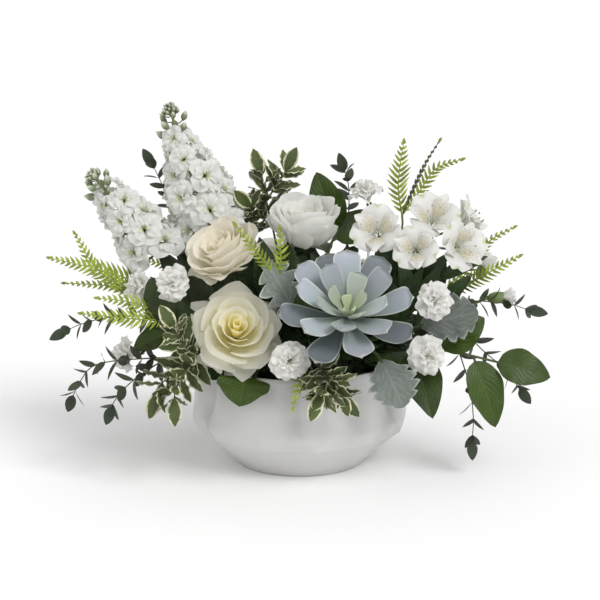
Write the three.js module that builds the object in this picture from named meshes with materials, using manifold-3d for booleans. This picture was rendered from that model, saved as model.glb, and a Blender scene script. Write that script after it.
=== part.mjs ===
// A low floral table centerpiece: roses, stock, alstroemeria, mini carnations, a succulent and
// mixed greens, their stems pushed into a block of floral foam in a pleated white bowl.
// Millimetres, +Z up. The origin is the middle of the bowl's foot, and -Y is the front.
import * as THREE from "three";
import { mergeVertices } from "three/addons/utils/BufferGeometryUtils.js";
import Module from "manifold-3d";

const wasm = await Module();
wasm.setup();

// ---------------------------------------------------------------- driving dimensions
const BOWL = {
  foot: 62, // radii first: the foot, the crease above it, the widest place and the rim
  crease: 94,
  belly: 98.7,
  rim: 90,
  creaseZ: 34,
  bellyZ: 44,
  shoulderZ: 72,
  height: 98,
  wall: 5,
  sides: 24,
};
const PLEATS = { count: 6, depth: 4.5, halfWidthDeg: 16 };
const FACETS = { count: 12, firstEdgeDeg: -80 }; // flat sides below the crease, and where one of their edges is
const FOAM = { foot: 53, bottom: 7.7, radius: 66, top: 146, sides: 8, centre: new THREE.Vector3(0, 0, 85) };
const STEM_SEAT = { inner: 44, outer: 71 }; // how far from the foam's centre a stem is straight
const GAP = 0.3; // air left between two pieces that touch on the real thing
const SEAT = 0.35; // gap between a bloom and the calyx under it
const GOLDEN = Math.PI * (3 - Math.sqrt(5));
const RAD = Math.PI / 180;

const COLOURS = {
  ceramic: [0xf2f0ec, 0.35],
  foam: [0x3f6b45, 0.95],
  white: [0xf6f4ee, 0.6],
  cream: [0xf4ecd8, 0.6],
  stem: [0x5d7a3a, 0.6],
  glossy: [0x35602c, 0.4],
  variegated: [0x6f8a55, 0.5],
  silver: [0x9aa8a4, 0.85],
  blue: [0x9fb0bd, 0.6],
  eucalyptus: [0x4c5f55, 0.6],
  fern: [0x9bb83e, 0.55],
};

const at = (x, y, z) => new THREE.Vector3(x, y, z);
const mix = (a, b, t) => a + (b - a) * t;
const bezier = (a, b, c, t) => mix(mix(a, b, t), mix(b, c, t), t);
const UP = at(0, 0, 1);
const TOWARDS_VIEWER = at(0, -0.97, 0.22);

// ---------------------------------------------------------------- solids
function solidOf(points, faces) {
  const geometry = new THREE.BufferGeometry();
  geometry.setFromPoints(points);
  geometry.setIndex(faces.flat());
  return solidFrom(geometry);
}

// A closed three.js geometry as a solid: shared vertices merged, collapsed faces dropped.
function solidFrom(source) {
  const geometry = source.clone();
  for (const name of Object.keys(geometry.attributes)) {
    if (name !== "position") geometry.deleteAttribute(name);
  }
  const merged = mergeVertices(geometry, 1e-4);
  const index = merged.index.array;
  const kept = [];
  for (let i = 0; i < index.length; i += 3) {
    const [a, b, c] = [index[i], index[i + 1], index[i + 2]];
    if (a !== b && b !== c && c !== a) kept.push([a, b, c]);
  }
  const build = (triangles) =>
    new wasm.Manifold(
      new wasm.Mesh({
        numProp: 3,
        vertProperties: new Float32Array(merged.attributes.position.array),
        triVerts: new Uint32Array(triangles.flat()),
      }),
    );
  const made = build(kept);
  return made.volume() < 0 ? build(kept.map(([a, b, c]) => [a, c, b])) : made;
}

// A closed blade. surface(u, v) is its middle: u runs from root to tip through `rows`, v across from -1 to 1.
// Both faces are split into triangles alike. They are `thickness` apart inside and meet in an edge all round.
function blade(rows, cols, thickness, surface) {
  const points = [];
  const faces = [];
  const step = 0.02;
  const last = rows.length - 1;
  const normalAt = (u, v) => {
    const inner = Math.min(0.96, Math.max(0.04, u));
    const along = surface(inner + step, v).sub(surface(inner - step, v));
    const across = surface(inner, v + step).sub(surface(inner, v - step));
    return across.cross(along).normalize();
  };
  for (const side of [1, -1]) {
    rows.forEach((u, i) => {
      for (let j = 0; j <= cols; j++) {
        const v = (2 * j) / cols - 1;
        const inside = j > 0 && j < cols && i > 0 && i < last;
        const lift = inside ? (side * thickness) / 2 : 0;
        points.push(surface(u, i > 0 ? v : 0).addScaledVector(normalAt(u, v), lift));
      }
    });
  }
  const width = cols + 1;
  for (let i = 0; i < last; i++) {
    for (let j = 0; j < cols; j++) {
      const a = i * width + j;
      for (const [p, q, r] of [[a, a + 1, a + width + 1], [a, a + width + 1, a + width]]) {
        faces.push([p, q, r], [p, r, q].map((k) => k + rows.length * width));
      }
    }
  }
  return solidOf(points, faces);
}

// A solid funnel: a lobed rim, a hollow above it and a point below it that roots in a core.
function funnel(rim, top, apex) {
  const n = rim.length;
  const faces = rim.flatMap((_, i) => [
    [0, 2 + i, 2 + ((i + 1) % n)],
    [1, 2 + ((i + 1) % n), 2 + i],
  ]);
  return solidOf([top, apex, ...rim], faces);
}

// A waved and lobed ring of points, for funnel().
function lobedRim({ lobes, radius, notch, heave, z, turn = 0 }) {
  return Array.from({ length: lobes * 2 }, (_, i) => {
    const angle = turn + (i * Math.PI) / lobes;
    const r = radius * (i % 2 ? notch : 1);
    const height = z + heave * Math.sin(angle * 2 + turn) - (i % 2 ? heave : 0);
    return at(r * Math.cos(angle), r * Math.sin(angle), height);
  });
}

function lathe(profile, sides) {
  const points = profile.map(([r, z]) => new THREE.Vector2(r, z));
  return new THREE.LatheGeometry(points, sides).rotateX(Math.PI / 2);
}

function tube(curve, radius, steps, sides = 4) {
  const section = new THREE.Shape(
    Array.from({ length: sides }, (_, i) => {
      const angle = (i * 2 * Math.PI) / sides;
      return new THREE.Vector2(radius * Math.cos(angle), radius * Math.sin(angle));
    }),
  );
  return solidFrom(new THREE.ExtrudeGeometry(section, { steps, bevelEnabled: false, extrudePath: curve }));
}

// A stalk along a curve, whose end swells into a cup. The cup is a list of [distance from the end, radius].
function cuppedStalk(curve, radius, steps, cup, sides = 4) {
  const points = [];
  const faces = [];
  const length = curve.getLength();
  const tail = cup[0][0] / length;
  const rows = Array.from({ length: steps + 1 }, (_, i) => [(1 - tail) * (i / steps), radius]);
  rows.pop();
  rows.push(...cup.map(([distance, size]) => [1 - distance / length, size]));
  let x = at(1, 0.3, 0.1);
  for (const [s, size] of rows) {
    const centre = curve.getPointAt(s);
    const along = curve.getTangentAt(s);
    x = x.clone().addScaledVector(along, -x.dot(along)).normalize();
    const y = along.clone().cross(x);
    for (let k = 0; k < sides; k++) {
      const angle = (k * 2 * Math.PI) / sides;
      const out = x.clone().multiplyScalar(size * Math.cos(angle)).addScaledVector(y, size * Math.sin(angle));
      points.push(centre.clone().add(out));
    }
  }
  const last = points.length - sides;
  for (let k = 0; k < sides; k++) {
    const next = (k + 1) % sides;
    for (let row = 0; row < last; row += sides) {
      faces.push([row + k, row + next, row + sides + next], [row + k, row + sides + next, row + sides + k]);
    }
    if (k > 0 && k < sides - 1) faces.push([0, k + 1, k], [last, last + k, last + k + 1]);
  }
  return solidOf(points, faces);
}

const smoothCurve = (points) => new THREE.CatmullRomCurve3(points, false, "catmullrom", 0.5);
const place = (solid, matrix) => solid.transform(matrix.elements);

// Local axes for a blade: x across it, y along it, z out of the face that looks towards `face`.
function bladeAxes(origin, along, face) {
  const y = along.clone().normalize();
  const x = at(0, 0, 0).crossVectors(y, face).normalize();
  return new THREE.Matrix4().makeBasis(x, y, x.clone().cross(y)).setPosition(origin);
}

// Local axes for a bloom: z is the way it faces.
function bloomAxes(origin, facing, roll = 0) {
  const z = facing.clone().normalize();
  const x = at(0, 0, 0).crossVectors(Math.abs(z.z) > 0.95 ? at(0, 1, 0) : UP, z).normalize();
  const matrix = new THREE.Matrix4().makeBasis(x, z.clone().cross(x), z).setPosition(origin);
  return matrix.multiply(new THREE.Matrix4().makeRotationZ(roll));
}

// ---------------------------------------------------------------- the arrangement
const root = new THREE.Group();
const placed = [];
const holes = [];

function boxesMeet(a, b) {
  return [0, 1, 2].every((k) => a.min[k] - GAP < b.max[k] && b.min[k] - GAP < a.max[k]);
}

// True where a solid keeps its distance from every piece that is already in place.
function isClear(solid) {
  const box = solid.boundingBox();
  return placed.every((other) => !boxesMeet(other.box, box) || other.solid.minGap(solid, GAP) >= GAP);
}

function addNode(name, solid, colour) {
  if (!isClear(solid)) throw new Error(name + " touches a neighbour");
  const mesh = solid.getMesh();
  const geometry = new THREE.BufferGeometry();
  geometry.setAttribute("position", new THREE.BufferAttribute(mesh.vertProperties, 3));
  geometry.setIndex(new THREE.BufferAttribute(mesh.triVerts, 1));
  const [color, roughness] = COLOURS[colour];
  const node = new THREE.Mesh(geometry, new THREE.MeshStandardMaterial({ color, roughness, metalness: 0 }));
  node.name = name;
  root.add(node);
  placed.push({ name, solid, box: solid.boundingBox() });
}

const fuse = (solids) => wasm.Manifold.union(solids);

// A stem: straight where it stands in the foam, then one easy curve to its end.
class StemCurve extends THREE.Curve {
  constructor(entry, end, heading, steps) {
    super();
    const inner = entry.clone().multiplyScalar(STEM_SEAT.inner).add(FOAM.centre);
    const outer = entry.clone().multiplyScalar(STEM_SEAT.outer).add(FOAM.centre);
    const reach = 0.38 * outer.distanceTo(end);
    this.steps = steps;
    this.share = 1 / steps;
    this.seat = new THREE.LineCurve3(inner, outer);
    this.free = new THREE.CubicBezierCurve3(
      outer,
      outer.clone().addScaledVector(entry, reach),
      end.clone().addScaledVector(heading, -reach),
      end,
    );
  }
  getPoint(t) {
    if (t <= this.share) return this.seat.getPoint(t / this.share);
    return this.free.getPoint((t - this.share) / (1 - this.share));
  }
  getUtoTmapping(u) {
    return u; // so that a section lies exactly where the straight stretch ends
  }
}

// The ways into the foam, spread over its dome, nearest to the wanted direction first.
const LOWEST_ENTRY = 11 * RAD;
const entries = Array.from({ length: 420 }, (_, i) => {
  const z = mix(Math.sin(LOWEST_ENTRY), 0.99, (i + 0.5) / 420);
  const r = Math.sqrt(1 - z * z);
  return at(r * Math.cos(i * GOLDEN), r * Math.sin(i * GOLDEN), z);
});

// The way from the foam to `end` through the nearest free way in, touching nothing. Its hole is noted.
function freeWay(name, end, heading, radius, steps = 3) {
  const wanted = end.clone().addScaledVector(heading, -25).sub(FOAM.centre).normalize();
  const order = [...entries].sort((a, b) => b.dot(wanted) - a.dot(wanted));
  for (const entry of order) {
    const curve = new StemCurve(entry, end, heading, steps);
    if (!isClear(tube(curve, radius * 1.25, steps))) continue;
    holes.push({ entry, radius });
    return curve;
  }
  throw new Error("no free way in for " + name);
}

function routeStem(name, end, heading, radius, steps = 3) {
  return tube(freeWay(name, end, heading, radius, steps), radius, steps);
}

// ---------------------------------------------------------------- bowl
function makeBowl() {
  const { foot, crease, creaseZ, belly, bellyZ, shoulderZ, rim, height, wall } = BOWL;
  const geometry = lathe(
    [
      [0, 0],
      [foot - 2, 0],
      [foot, 1.5],
      [crease, creaseZ],
      [belly, bellyZ],
      [belly - 1.5, shoulderZ],
      [rim, height - 2],
      [rim - 1.5, height],
      [rim - wall + 1, height],
      [belly - 1.5 - wall, shoulderZ],
      [crease - wall - 1, creaseZ + 3],
      [foot - 4, 7.5],
      [0, 6],
    ],
    BOWL.sides,
  );
  const position = geometry.attributes.position;
  for (let i = 0; i < position.count; i++) {
    const [x, y, z] = [position.getX(i), position.getY(i), position.getZ(i)];
    const k = bowlScale(Math.atan2(y, x), z);
    position.setXYZ(i, x * k, y * k, z);
  }
  return solidFrom(geometry);
}

// The angle to the nearest of `count` places spread evenly round the bowl, the first of them at `first`.
function fromNearest(angle, count, first) {
  const pitch = (2 * Math.PI) / count;
  return THREE.MathUtils.euclideanModulo(angle - first + pitch / 2, pitch) - pitch / 2;
}

// How far the wall stands in or out at an angle and a height: soft pleats above, flat facets below.
function bowlScale(angle, z) {
  const smoothstep = THREE.MathUtils.smoothstep;
  const fromPleat = Math.abs(fromNearest(angle, PLEATS.count, -Math.PI / 2));
  const pleat = Math.max(0, 1 - fromPleat / (PLEATS.halfWidthDeg * RAD));
  const rise = smoothstep(z, BOWL.creaseZ + 6, 66);
  const edge = Math.PI / FACETS.count;
  const facets = 1 / Math.cos(edge - Math.abs(fromNearest(angle, FACETS.count, FACETS.firstEdgeDeg * RAD))) - 1;
  const low = smoothstep(z, 2, BOWL.creaseZ) * (1 - smoothstep(z, BOWL.creaseZ + 4, 60));
  return 1 - (PLEATS.depth / BOWL.belly) * pleat * rise + facets * low;
}

// ---------------------------------------------------------------- blooms
function petalSurface({ from, bend, to, turn, spread, lean = 0.05, round = 0.16, point = 0 }) {
  return (u, v) => {
    const w = u * (1 - round * v * v);
    const r = bezier(from[0], bend[0], to[0], w) + point * (1 - Math.abs(v)) * w ** 4;
    const z = bezier(from[1], bend[1], to[1], w);
    const angle = turn + v * spread * (0.5 + 0.5 * Math.min(1, w * 1.7));
    const k = r * (1 + lean * v);
    return at(k * Math.cos(angle), k * Math.sin(angle), z);
  };
}

// Rings of a rose 78 mm across: how many petals, and the curve each follows outwards, as [radius, height].
const ROSE_RINGS = [
  { count: 5, cols: 3, from: [2, 1], bend: [32, 13], to: [37.5, 23], lean: 0.06, point: 2.5 },
  { count: 4, cols: 2, from: [2, 2], bend: [28, 15], to: [29, 34], lean: 0.07, point: 1.5 },
  { count: 3, cols: 2, from: [2, 3], bend: [23, 20], to: [18.5, 39], lean: 0.08, point: 0 },
];
const ROSE_CORE = [[0, 0], [4.5, 0], [9, 12], [7.5, 37], [0, 33]];
const ROSE_DEPTH = 30;
const PETAL_ROWS = [0, 0.42, 0.78, 1];

function roseBloom() {
  const petals = ROSE_RINGS.flatMap((ring, k) =>
    Array.from({ length: ring.count }, (_, i) => {
      const turn = (i * 2 * Math.PI) / ring.count + k * 0.7;
      const spread = (Math.PI / ring.count) * 1.22;
      return blade(PETAL_ROWS, ring.cols, 1.2, petalSurface({ ...ring, turn, spread }));
    }),
  );
  return fuse([solidFrom(lathe(ROSE_CORE, 5)), ...petals]);
}

// The green hip under a rose, with five drooping sepals round its flat top.
function roseCalyx() {
  const rim = lobedRim({ lobes: 5, radius: 13, notch: 0.38, heave: 0, z: -2 });
  const drooped = rim.map((p) => at(p.x, p.y, Math.hypot(p.x, p.y) > 8 ? -6 : 0));
  return funnel(drooped, at(0, 0, 0), at(0, 0, -13));
}

// The succulent, 121 mm across: leaves on a spiral, from upright in the middle to nearly flat outside.
const ROSETTE = { leaves: 21, longest: 61, shortest: 15, steep: 74, flat: 10, depth: 12 };

function rosette() {
  const leaves = Array.from({ length: ROSETTE.leaves }, (_, i) => {
    const age = i / (ROSETTE.leaves - 1);
    const length = mix(ROSETTE.shortest, ROSETTE.longest, 1 - (1 - age) ** 2.2);
    const rise = mix(ROSETTE.steep, ROSETTE.flat, age ** 0.7) * RAD;
    const width = length * mix(0.21, 0.245, age);
    const base = mix(9, 3, age);
    return blade([0, 0.48, 0.84, 1], 2, mix(3.5, 5.5, age), (u, v) => {
      const wide = u > 0.99 ? 0 : width * mix(0.4, 1, Math.sin(Math.min(1, u * 1.25) * Math.PI * 0.5) ** 2);
      const out = 2 + length * u * Math.cos(rise);
      const lift = base + length * (u * Math.sin(rise) + 0.1 * u * u);
      const cup = 0.22 * Math.abs(v) * wide;
      const point = at(out - cup * Math.sin(rise), v * wide, lift + cup * Math.cos(rise));
      return point.applyAxisAngle(UP, i * GOLDEN);
    });
  });
  return fuse([solidFrom(lathe([[0, 0], [5, 0], [8, 5], [5, 15], [0, 17]], 6)), ...leaves]);
}

// An alstroemeria bloom, 50 mm across: three broad outer tepals and three narrow inner ones.
function alstroemeriaBloom() {
  const tepals = Array.from({ length: 6 }, (_, i) => {
    const outer = i % 2 === 0;
    const turn = (i * Math.PI) / 3 + Math.PI / 2;
    const half = outer ? 12 : 7.5;
    return blade([0, 0.5, 0.85, 1], 2, 1.2, (u, v) => {
      const w = u * (1 - 0.12 * v * v);
      const wide = half * Math.sin(Math.min(1, w * 1.2) * Math.PI * 0.5) ** 1.5 * (u > 0.99 ? 0.45 : 1);
      const out = bezier(1, 6, outer ? 25 : 23, w);
      const lift = bezier(0, 19, outer ? 24 : 28, w) - 2 * v * v * w;
      return at(out, v * wide, lift).applyAxisAngle(UP, turn);
    });
  });
  return fuse([solidFrom(lathe([[0, 0], [2.4, 0], [4.2, 11], [0, 12]], 6)), ...tepals]);
}

// Rings of a mini carnation 37 mm across, outwards and up: three ruffled layers with grooves between.
const CARNATION_RINGS = [
  { radius: 2.6, z: 0 },
  { radius: 18.5, z: 11, ruffle: 2.2 },
  { radius: 10, z: 12.5 },
  { radius: 14, z: 17, ruffle: 2 },
  { radius: 6, z: 16 },
  { radius: 8.5, z: 21.5, ruffle: 1.5 },
];

// One ruffled body: ring upon ring of points, closed by a point below and one above.
function ruffled(rings, lobes, bottom, top) {
  const count = lobes * 2;
  const points = rings.flatMap(({ radius, z, ruffle = 0 }, k) =>
    Array.from({ length: count }, (_, i) => {
      const angle = (i * Math.PI) / lobes;
      const odd = (i + (k >> 1)) % 2 ? 1 : -1;
      const r = radius + odd * ruffle * 0.7;
      const height = z + ruffle * (odd * 0.6 + 0.5 * Math.sin(3 * angle + k));
      return at(r * Math.cos(angle), r * Math.sin(angle), height);
    }),
  );
  const faces = [];
  for (let i = 0; i < count; i++) {
    const next = (i + 1) % count;
    for (let k = 0; k + 1 < rings.length; k++) {
      const [a, b] = [k * count, (k + 1) * count];
      faces.push([a + i, a + next, b + next], [a + i, b + next, b + i]);
    }
    const high = (rings.length - 1) * count;
    faces.push([points.length, next, i], [points.length + 1, high + i, high + next]);
  }
  return solidOf([...points, at(0, 0, bottom), at(0, 0, top)], faces);
}

const carnationBloom = () => ruffled(CARNATION_RINGS, 6, 0, 18);
const CARNATION_DEPTH = 12;
const CARNATION_CALYX = [[15, 1.4], [11, 3], [0, 3.6]];
const ALSTROEMERIA_OVARY = [[7, 1.1], [3, 2.3], [0, 2]];

const toward = (x, y, z) => at(x, y, z).normalize();

// Each bloom: the middle of what the front view shows, the way it faces, and its size beside the drawn one.
const ROSES = [
  { name: "rose_front", middle: at(-55, -88, 145), facing: toward(0.1, -0.86, 0.5), scale: 1, roll: 0.5 },
  { name: "rose_left", middle: at(-72, -50, 212), facing: toward(-0.45, -0.42, 0.79), scale: 0.98, roll: 1.1 },
  { name: "rose_top", middle: at(4, -18, 231), facing: toward(0.02, -0.3, 0.95), scale: 0.98, roll: 0.2 },
  { name: "rose_rear", middle: at(-28, 88, 168), facing: toward(-0.1, 0.78, 0.62), scale: 0.95, roll: 0.9 },
];
const SUCCULENT = { middle: at(41, -89, 167), facing: toward(0.04, -0.62, 0.78), roll: 0.23 };
const ALSTROEMERIA = {
  name: "alstroemeria",
  depth: 20,
  fork: at(104, -10, 196),
  heading: toward(0.3, -0.1, 0.9),
  blooms: [
    { middle: at(67, -52, 225), facing: toward(-0.15, -0.86, 0.45), roll: 0 },
    { middle: at(99, -74, 212), facing: toward(-0.15, -0.88, 0.35), roll: 0.2 },
    { middle: at(119, -32, 236), facing: toward(0.05, -0.7, 0.7), roll: 0.4 },
    { middle: at(144, -56, 212), facing: toward(0.4, -0.85, 0.3), roll: 0.6 },
    { middle: at(157, -10, 229), facing: toward(0.85, -0.15, 0.5), roll: 0.8 },
  ],
};
const CARNATIONS = [
  {
    name: "carnation_spray_left",
    fork: at(-106, -18, 142),
    heading: toward(-0.85, -0.3, 0.4),
    blooms: [
      { middle: at(-113, -68, 180), facing: toward(-0.4, -0.85, 0.3) },
      { middle: at(-147, -40, 171), facing: toward(-0.9, -0.4, 0.15) },
      { middle: at(-159, -50, 111), facing: toward(-0.93, -0.4, 0.05) },
    ],
  },
  {
    name: "carnation_spray_front",
    fork: at(-6, -92, 124),
    heading: toward(0, -1, 0.2),
    blooms: [{ middle: at(-9, -120, 124), facing: toward(0.05, -0.98, 0.15) }],
  },
  {
    name: "carnation_spray_right",
    fork: at(96, -48, 138),
    heading: toward(0.75, -0.55, 0.3),
    blooms: [
      { middle: at(118, -84, 170), facing: toward(0.35, -0.9, 0.22) },
      { middle: at(112, -92, 121), facing: toward(0.3, -0.95, 0.08) },
    ],
  },
  {
    name: "carnation_spray_top",
    fork: at(60, 30, 214),
    heading: toward(0.1, 0, 1),
    blooms: [{ middle: at(60, 20, 250), facing: toward(-0.25, 0.1, 0.95) }],
  },
  {
    name: "carnation_spray_rear",
    fork: at(48, 66, 140),
    heading: toward(0.3, 0.8, 0.4),
    blooms: [{ middle: at(62, 96, 156), facing: toward(0.35, 0.85, 0.4) }],
  },
];

const bases = {}; // where each bloom's stem ends, and the way it heads there

function setBloom(name, shape, { middle, facing, scale = 1, roll = 0 }, depth, colour) {
  const base = middle.clone().addScaledVector(facing, -depth * scale);
  const size = new THREE.Matrix4().makeScale(scale, scale, scale);
  const solid = place(shape, bloomAxes(base, facing, roll).multiply(size));
  addNode(name, solid, colour);
  bases[name] = { base, facing, scale, roll };
}

// Where the stem of a bloom ends: just under its flat base.
function seatOf(bloom) {
  const { base, facing, scale, roll } = bases[bloom];
  return { seat: base.clone().addScaledVector(facing, -SEAT), facing, scale, roll };
}

// One stem under one bloom, with a separate cup.
function singleStem(name, bloom, cup, length, radius) {
  const { seat, facing, scale, roll } = seatOf(bloom);
  const size = new THREE.Matrix4().makeScale(scale, scale, scale);
  const solid = place(cup, bloomAxes(seat, facing, roll).multiply(size));
  const end = seat.addScaledVector(facing, -(length - 1.5) * scale);
  return fuse([solid, routeStem(name, end, facing, radius)]);
}

// The short stalk from a fork to a bloom, bent clear of what is in its way and swelling into its cup.
function stalk(fork, heading, bloom, radius, cup) {
  const { seat, facing } = seatOf(bloom);
  const span = fork.distanceTo(seat);
  for (const pull of [0.35, 0.2, 0.5, 0.7, 0.05]) {
    for (const lift of [0, 0.3, -0.3, 0.6, -0.6]) {
      const leave = heading.clone().multiplyScalar(pull * span).add(at(0, 0, lift * span));
      const arrive = seat.clone().addScaledVector(facing, -Math.max(cup[0][0] * 1.2, 0.4 * span));
      const curve = new THREE.CubicBezierCurve3(fork, fork.clone().add(leave), arrive, seat);
      const solid = cuppedStalk(curve, radius, 3, cup);
      if (isClear(solid)) return solid;
    }
  }
  throw new Error("no free way for the stalk of " + bloom);
}

// A stem that forks into a stalk for each of its blooms. A stem of one bloom doesn't fork.
function sprayOfBlooms({ name, fork, heading }, blooms, cup, radius) {
  if (blooms.length === 1) {
    const { seat, facing } = seatOf(blooms[0]);
    const end = seat.clone().addScaledVector(facing, -cup[0][0]);
    const top = new THREE.LineCurve3(end.clone().addScaledVector(facing, -1), seat);
    return fuse([routeStem(name, end, facing, radius), cuppedStalk(top, radius * 1.3, 1, cup)]);
  }
  const start = fork.clone().addScaledVector(heading, -2);
  const stalks = blooms.map((bloom) => stalk(start, heading, bloom, radius, cup));
  return fuse([routeStem(name, fork, heading, radius * 1.3), ...stalks]);
}

// ---------------------------------------------------------------- stock
// A spike of stock: white florets on a sleeve, with the green stem through it and buds at its tip.
const STOCKS = [
  { name: "stock_tall", line: [at(-76, 22, 201), at(-96, 24, 252), at(-119, 26, 322)], florets: 12, reach: 23 },
  { name: "stock_low", line: [at(-128, 5, 189), at(-156, 6, 225), at(-190, 7, 267)], florets: 10, reach: 19 },
];
const SPIKE = { florets: 0.8, sleeve: 6.8, stem: 2.4, top: 12, steps: 4 };
const BUD = { length: 12, width: 6, rows: [0.5, 1], thick: 5, power: 1, arch: 0, fold: 0 };

// The places round a spike: the point on its axis, the way along, and the way out at an angle.
function roundSpike(curve, s, angle) {
  const along = curve.getTangent(s);
  const side = at(0, 0, 0).crossVectors(along, at(0, 1, 0)).normalize();
  const other = along.clone().cross(side);
  const out = side.multiplyScalar(Math.cos(angle)).addScaledVector(other, Math.sin(angle));
  return { centre: curve.getPoint(s), along, out };
}

function stockFlorets(curve, count, reach) {
  const sleeve = smoothCurve([0.07, 0.28, 0.54, SPIKE.florets].map((s) => curve.getPoint(s)));
  const whites = [tube(sleeve, SPIKE.sleeve, 3, 5)];
  for (let i = 0; i < count; i++) {
    const share = i / (count - 1);
    const { centre, along, out } = roundSpike(curve, mix(0.11, SPIKE.florets - 0.02, share), i * GOLDEN);
    const radius = mix(reach, SPIKE.top, share);
    const rim = lobedRim({ lobes: 4, radius, notch: 0.7, heave: 1.4, z: radius * 1.05, turn: i });
    const axes = bloomAxes(centre.addScaledVector(out, 3.5), out.clone().addScaledVector(along, 0.35));
    whites.push(place(funnel(rim, at(0, 0, radius * 0.95), at(0, 0, 0)), axes));
  }
  return fuse(whites).subtract(tube(curve, (SPIKE.stem + 2 * GAP) * Math.SQRT2, SPIKE.steps));
}

// ---------------------------------------------------------------- leaves
// A leaf as rings of four points, the last of which is its tip. A large leaf has a midrib: its rings are upper
// middle, one edge, lower middle, other edge, and its first ring is the end of its stalk. The rings of a small
// leaf are flat: two points on its upper face and two below them.
function leafRings(base, heading, face, shape) {
  const { length, width, rows, thick = 1.2, power = 0.85, arch = 0.1, fold = 0.2, wave = 0, stalk = 0 } = shape;
  const along = heading.clone().normalize();
  const across = at(0, 0, 0).crossVectors(along, face).normalize();
  const up = across.clone().cross(along);
  return rows.map((u, row) => {
    const full = (width / 2) * Math.sin(Math.PI * u ** power) ** 0.8 || 0;
    const half = stalk && row === 0 ? stalk : full;
    const drop = arch * length * (0.35 * u - u * u);
    const middle = base.clone().addScaledVector(along, u * length).addScaledVector(up, drop);
    const spot = ([x, z]) => middle.clone().addScaledVector(across, x).addScaledVector(up, z);
    if (u === 1) return [middle];
    const ripple = wave * Math.sin(u * 14);
    const rise = fold * half;
    const [over, under] = [thick / 2, -thick / 2];
    const ribbed = [[0, over], [half, rise + ripple], [0, under], [-half, rise - ripple]];
    const flat = [[-half, over - ripple], [half, over + ripple], [half, under + ripple], [-half, under - ripple]];
    return (stalk ? ribbed : flat).map(spot);
  });
}

// Joins a loop of four points to a leaf's rings, so that both of its faces are split alike.
function growLeaf(add, faces, points, loop, outward, rings, flat) {
  const normal = (p) => at(0, 0, 0).crossVectors(p[1].clone().sub(p[0]), p[2].clone().sub(p[0]));
  const middle = (p) => p.reduce((sum, q) => sum.add(q), at(0, 0, 0)).divideScalar(p.length);
  const corners = loop.map((k) => points[k]);
  const way = middle(rings[1]).sub(middle(rings[0]));
  const same = normal(corners).dot(outward) * normal(rings[0]).dot(way) > 0;
  const order = same ? [0, 1, 2, 3] : [3, 2, 1, 0];
  const centre = [middle(corners), middle(rings[0])];
  const match = (shift) =>
    corners.reduce((sum, p, i) => {
      const q = rings[0][order[(i + shift) % 4]];
      return sum + p.clone().sub(centre[0]).normalize().dot(q.clone().sub(centre[1]).normalize());
    }, 0);
  const shift = [0, 1, 2, 3].reduce((a, b) => (match(b) > match(a) ? b : a), 0);
  const turned = [0, 1, 2, 3].map((i) => order[(i + shift) % 4]);
  let from = loop;
  rings.slice(0, -1).forEach((ring, row) => {
    const to = turned.map((k) => add(ring[k]));
    for (let i = 0; i < 4; i++) {
      const [p, q, r, t] = [from[i], from[(i + 1) % 4], to[(i + 1) % 4], to[i]];
      const fromMiddle = flat ? turned[i] % 3 === 0 : row === 0 || turned[i] % 2 === 0;
      faces.push(...(fromMiddle ? [[p, q, r], [p, r, t]] : [[p, q, t], [q, r, t]]));
    }
    from = to;
  });
  const tip = add(rings.at(-1)[0]);
  for (let i = 0; i < 4; i++) faces.push([from[i], from[(i + 1) % 4], tip]);
}

// A leaf by itself, without the first share of its stalk, to test what it touches.
function looseLeaf(rings, base, share, flat) {
  const root = rings[0].map((p) => base.clone().lerp(p, share));
  const points = [];
  const faces = [[0, 1, 2], [0, 2, 3]];
  const add = (p) => points.push(p.clone()) - 1;
  root.forEach(add);
  growLeaf(add, faces, points, [3, 2, 1, 0], rings.at(-1)[0].clone().sub(base), rings, flat);
  return solidOf(points, faces);
}

// The turns tried for a leaf that would touch a neighbour. A leaf that no turn clears is left out.
const TURNS = [0, 25, -25, 50, -50, 80, -80].map((degrees) => degrees * RAD);
const OFF_SIDE = 0.2; // how far a small leaf may lean off the middle of its twig's side, in quarter turns
const clamp = THREE.MathUtils.clamp;

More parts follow.
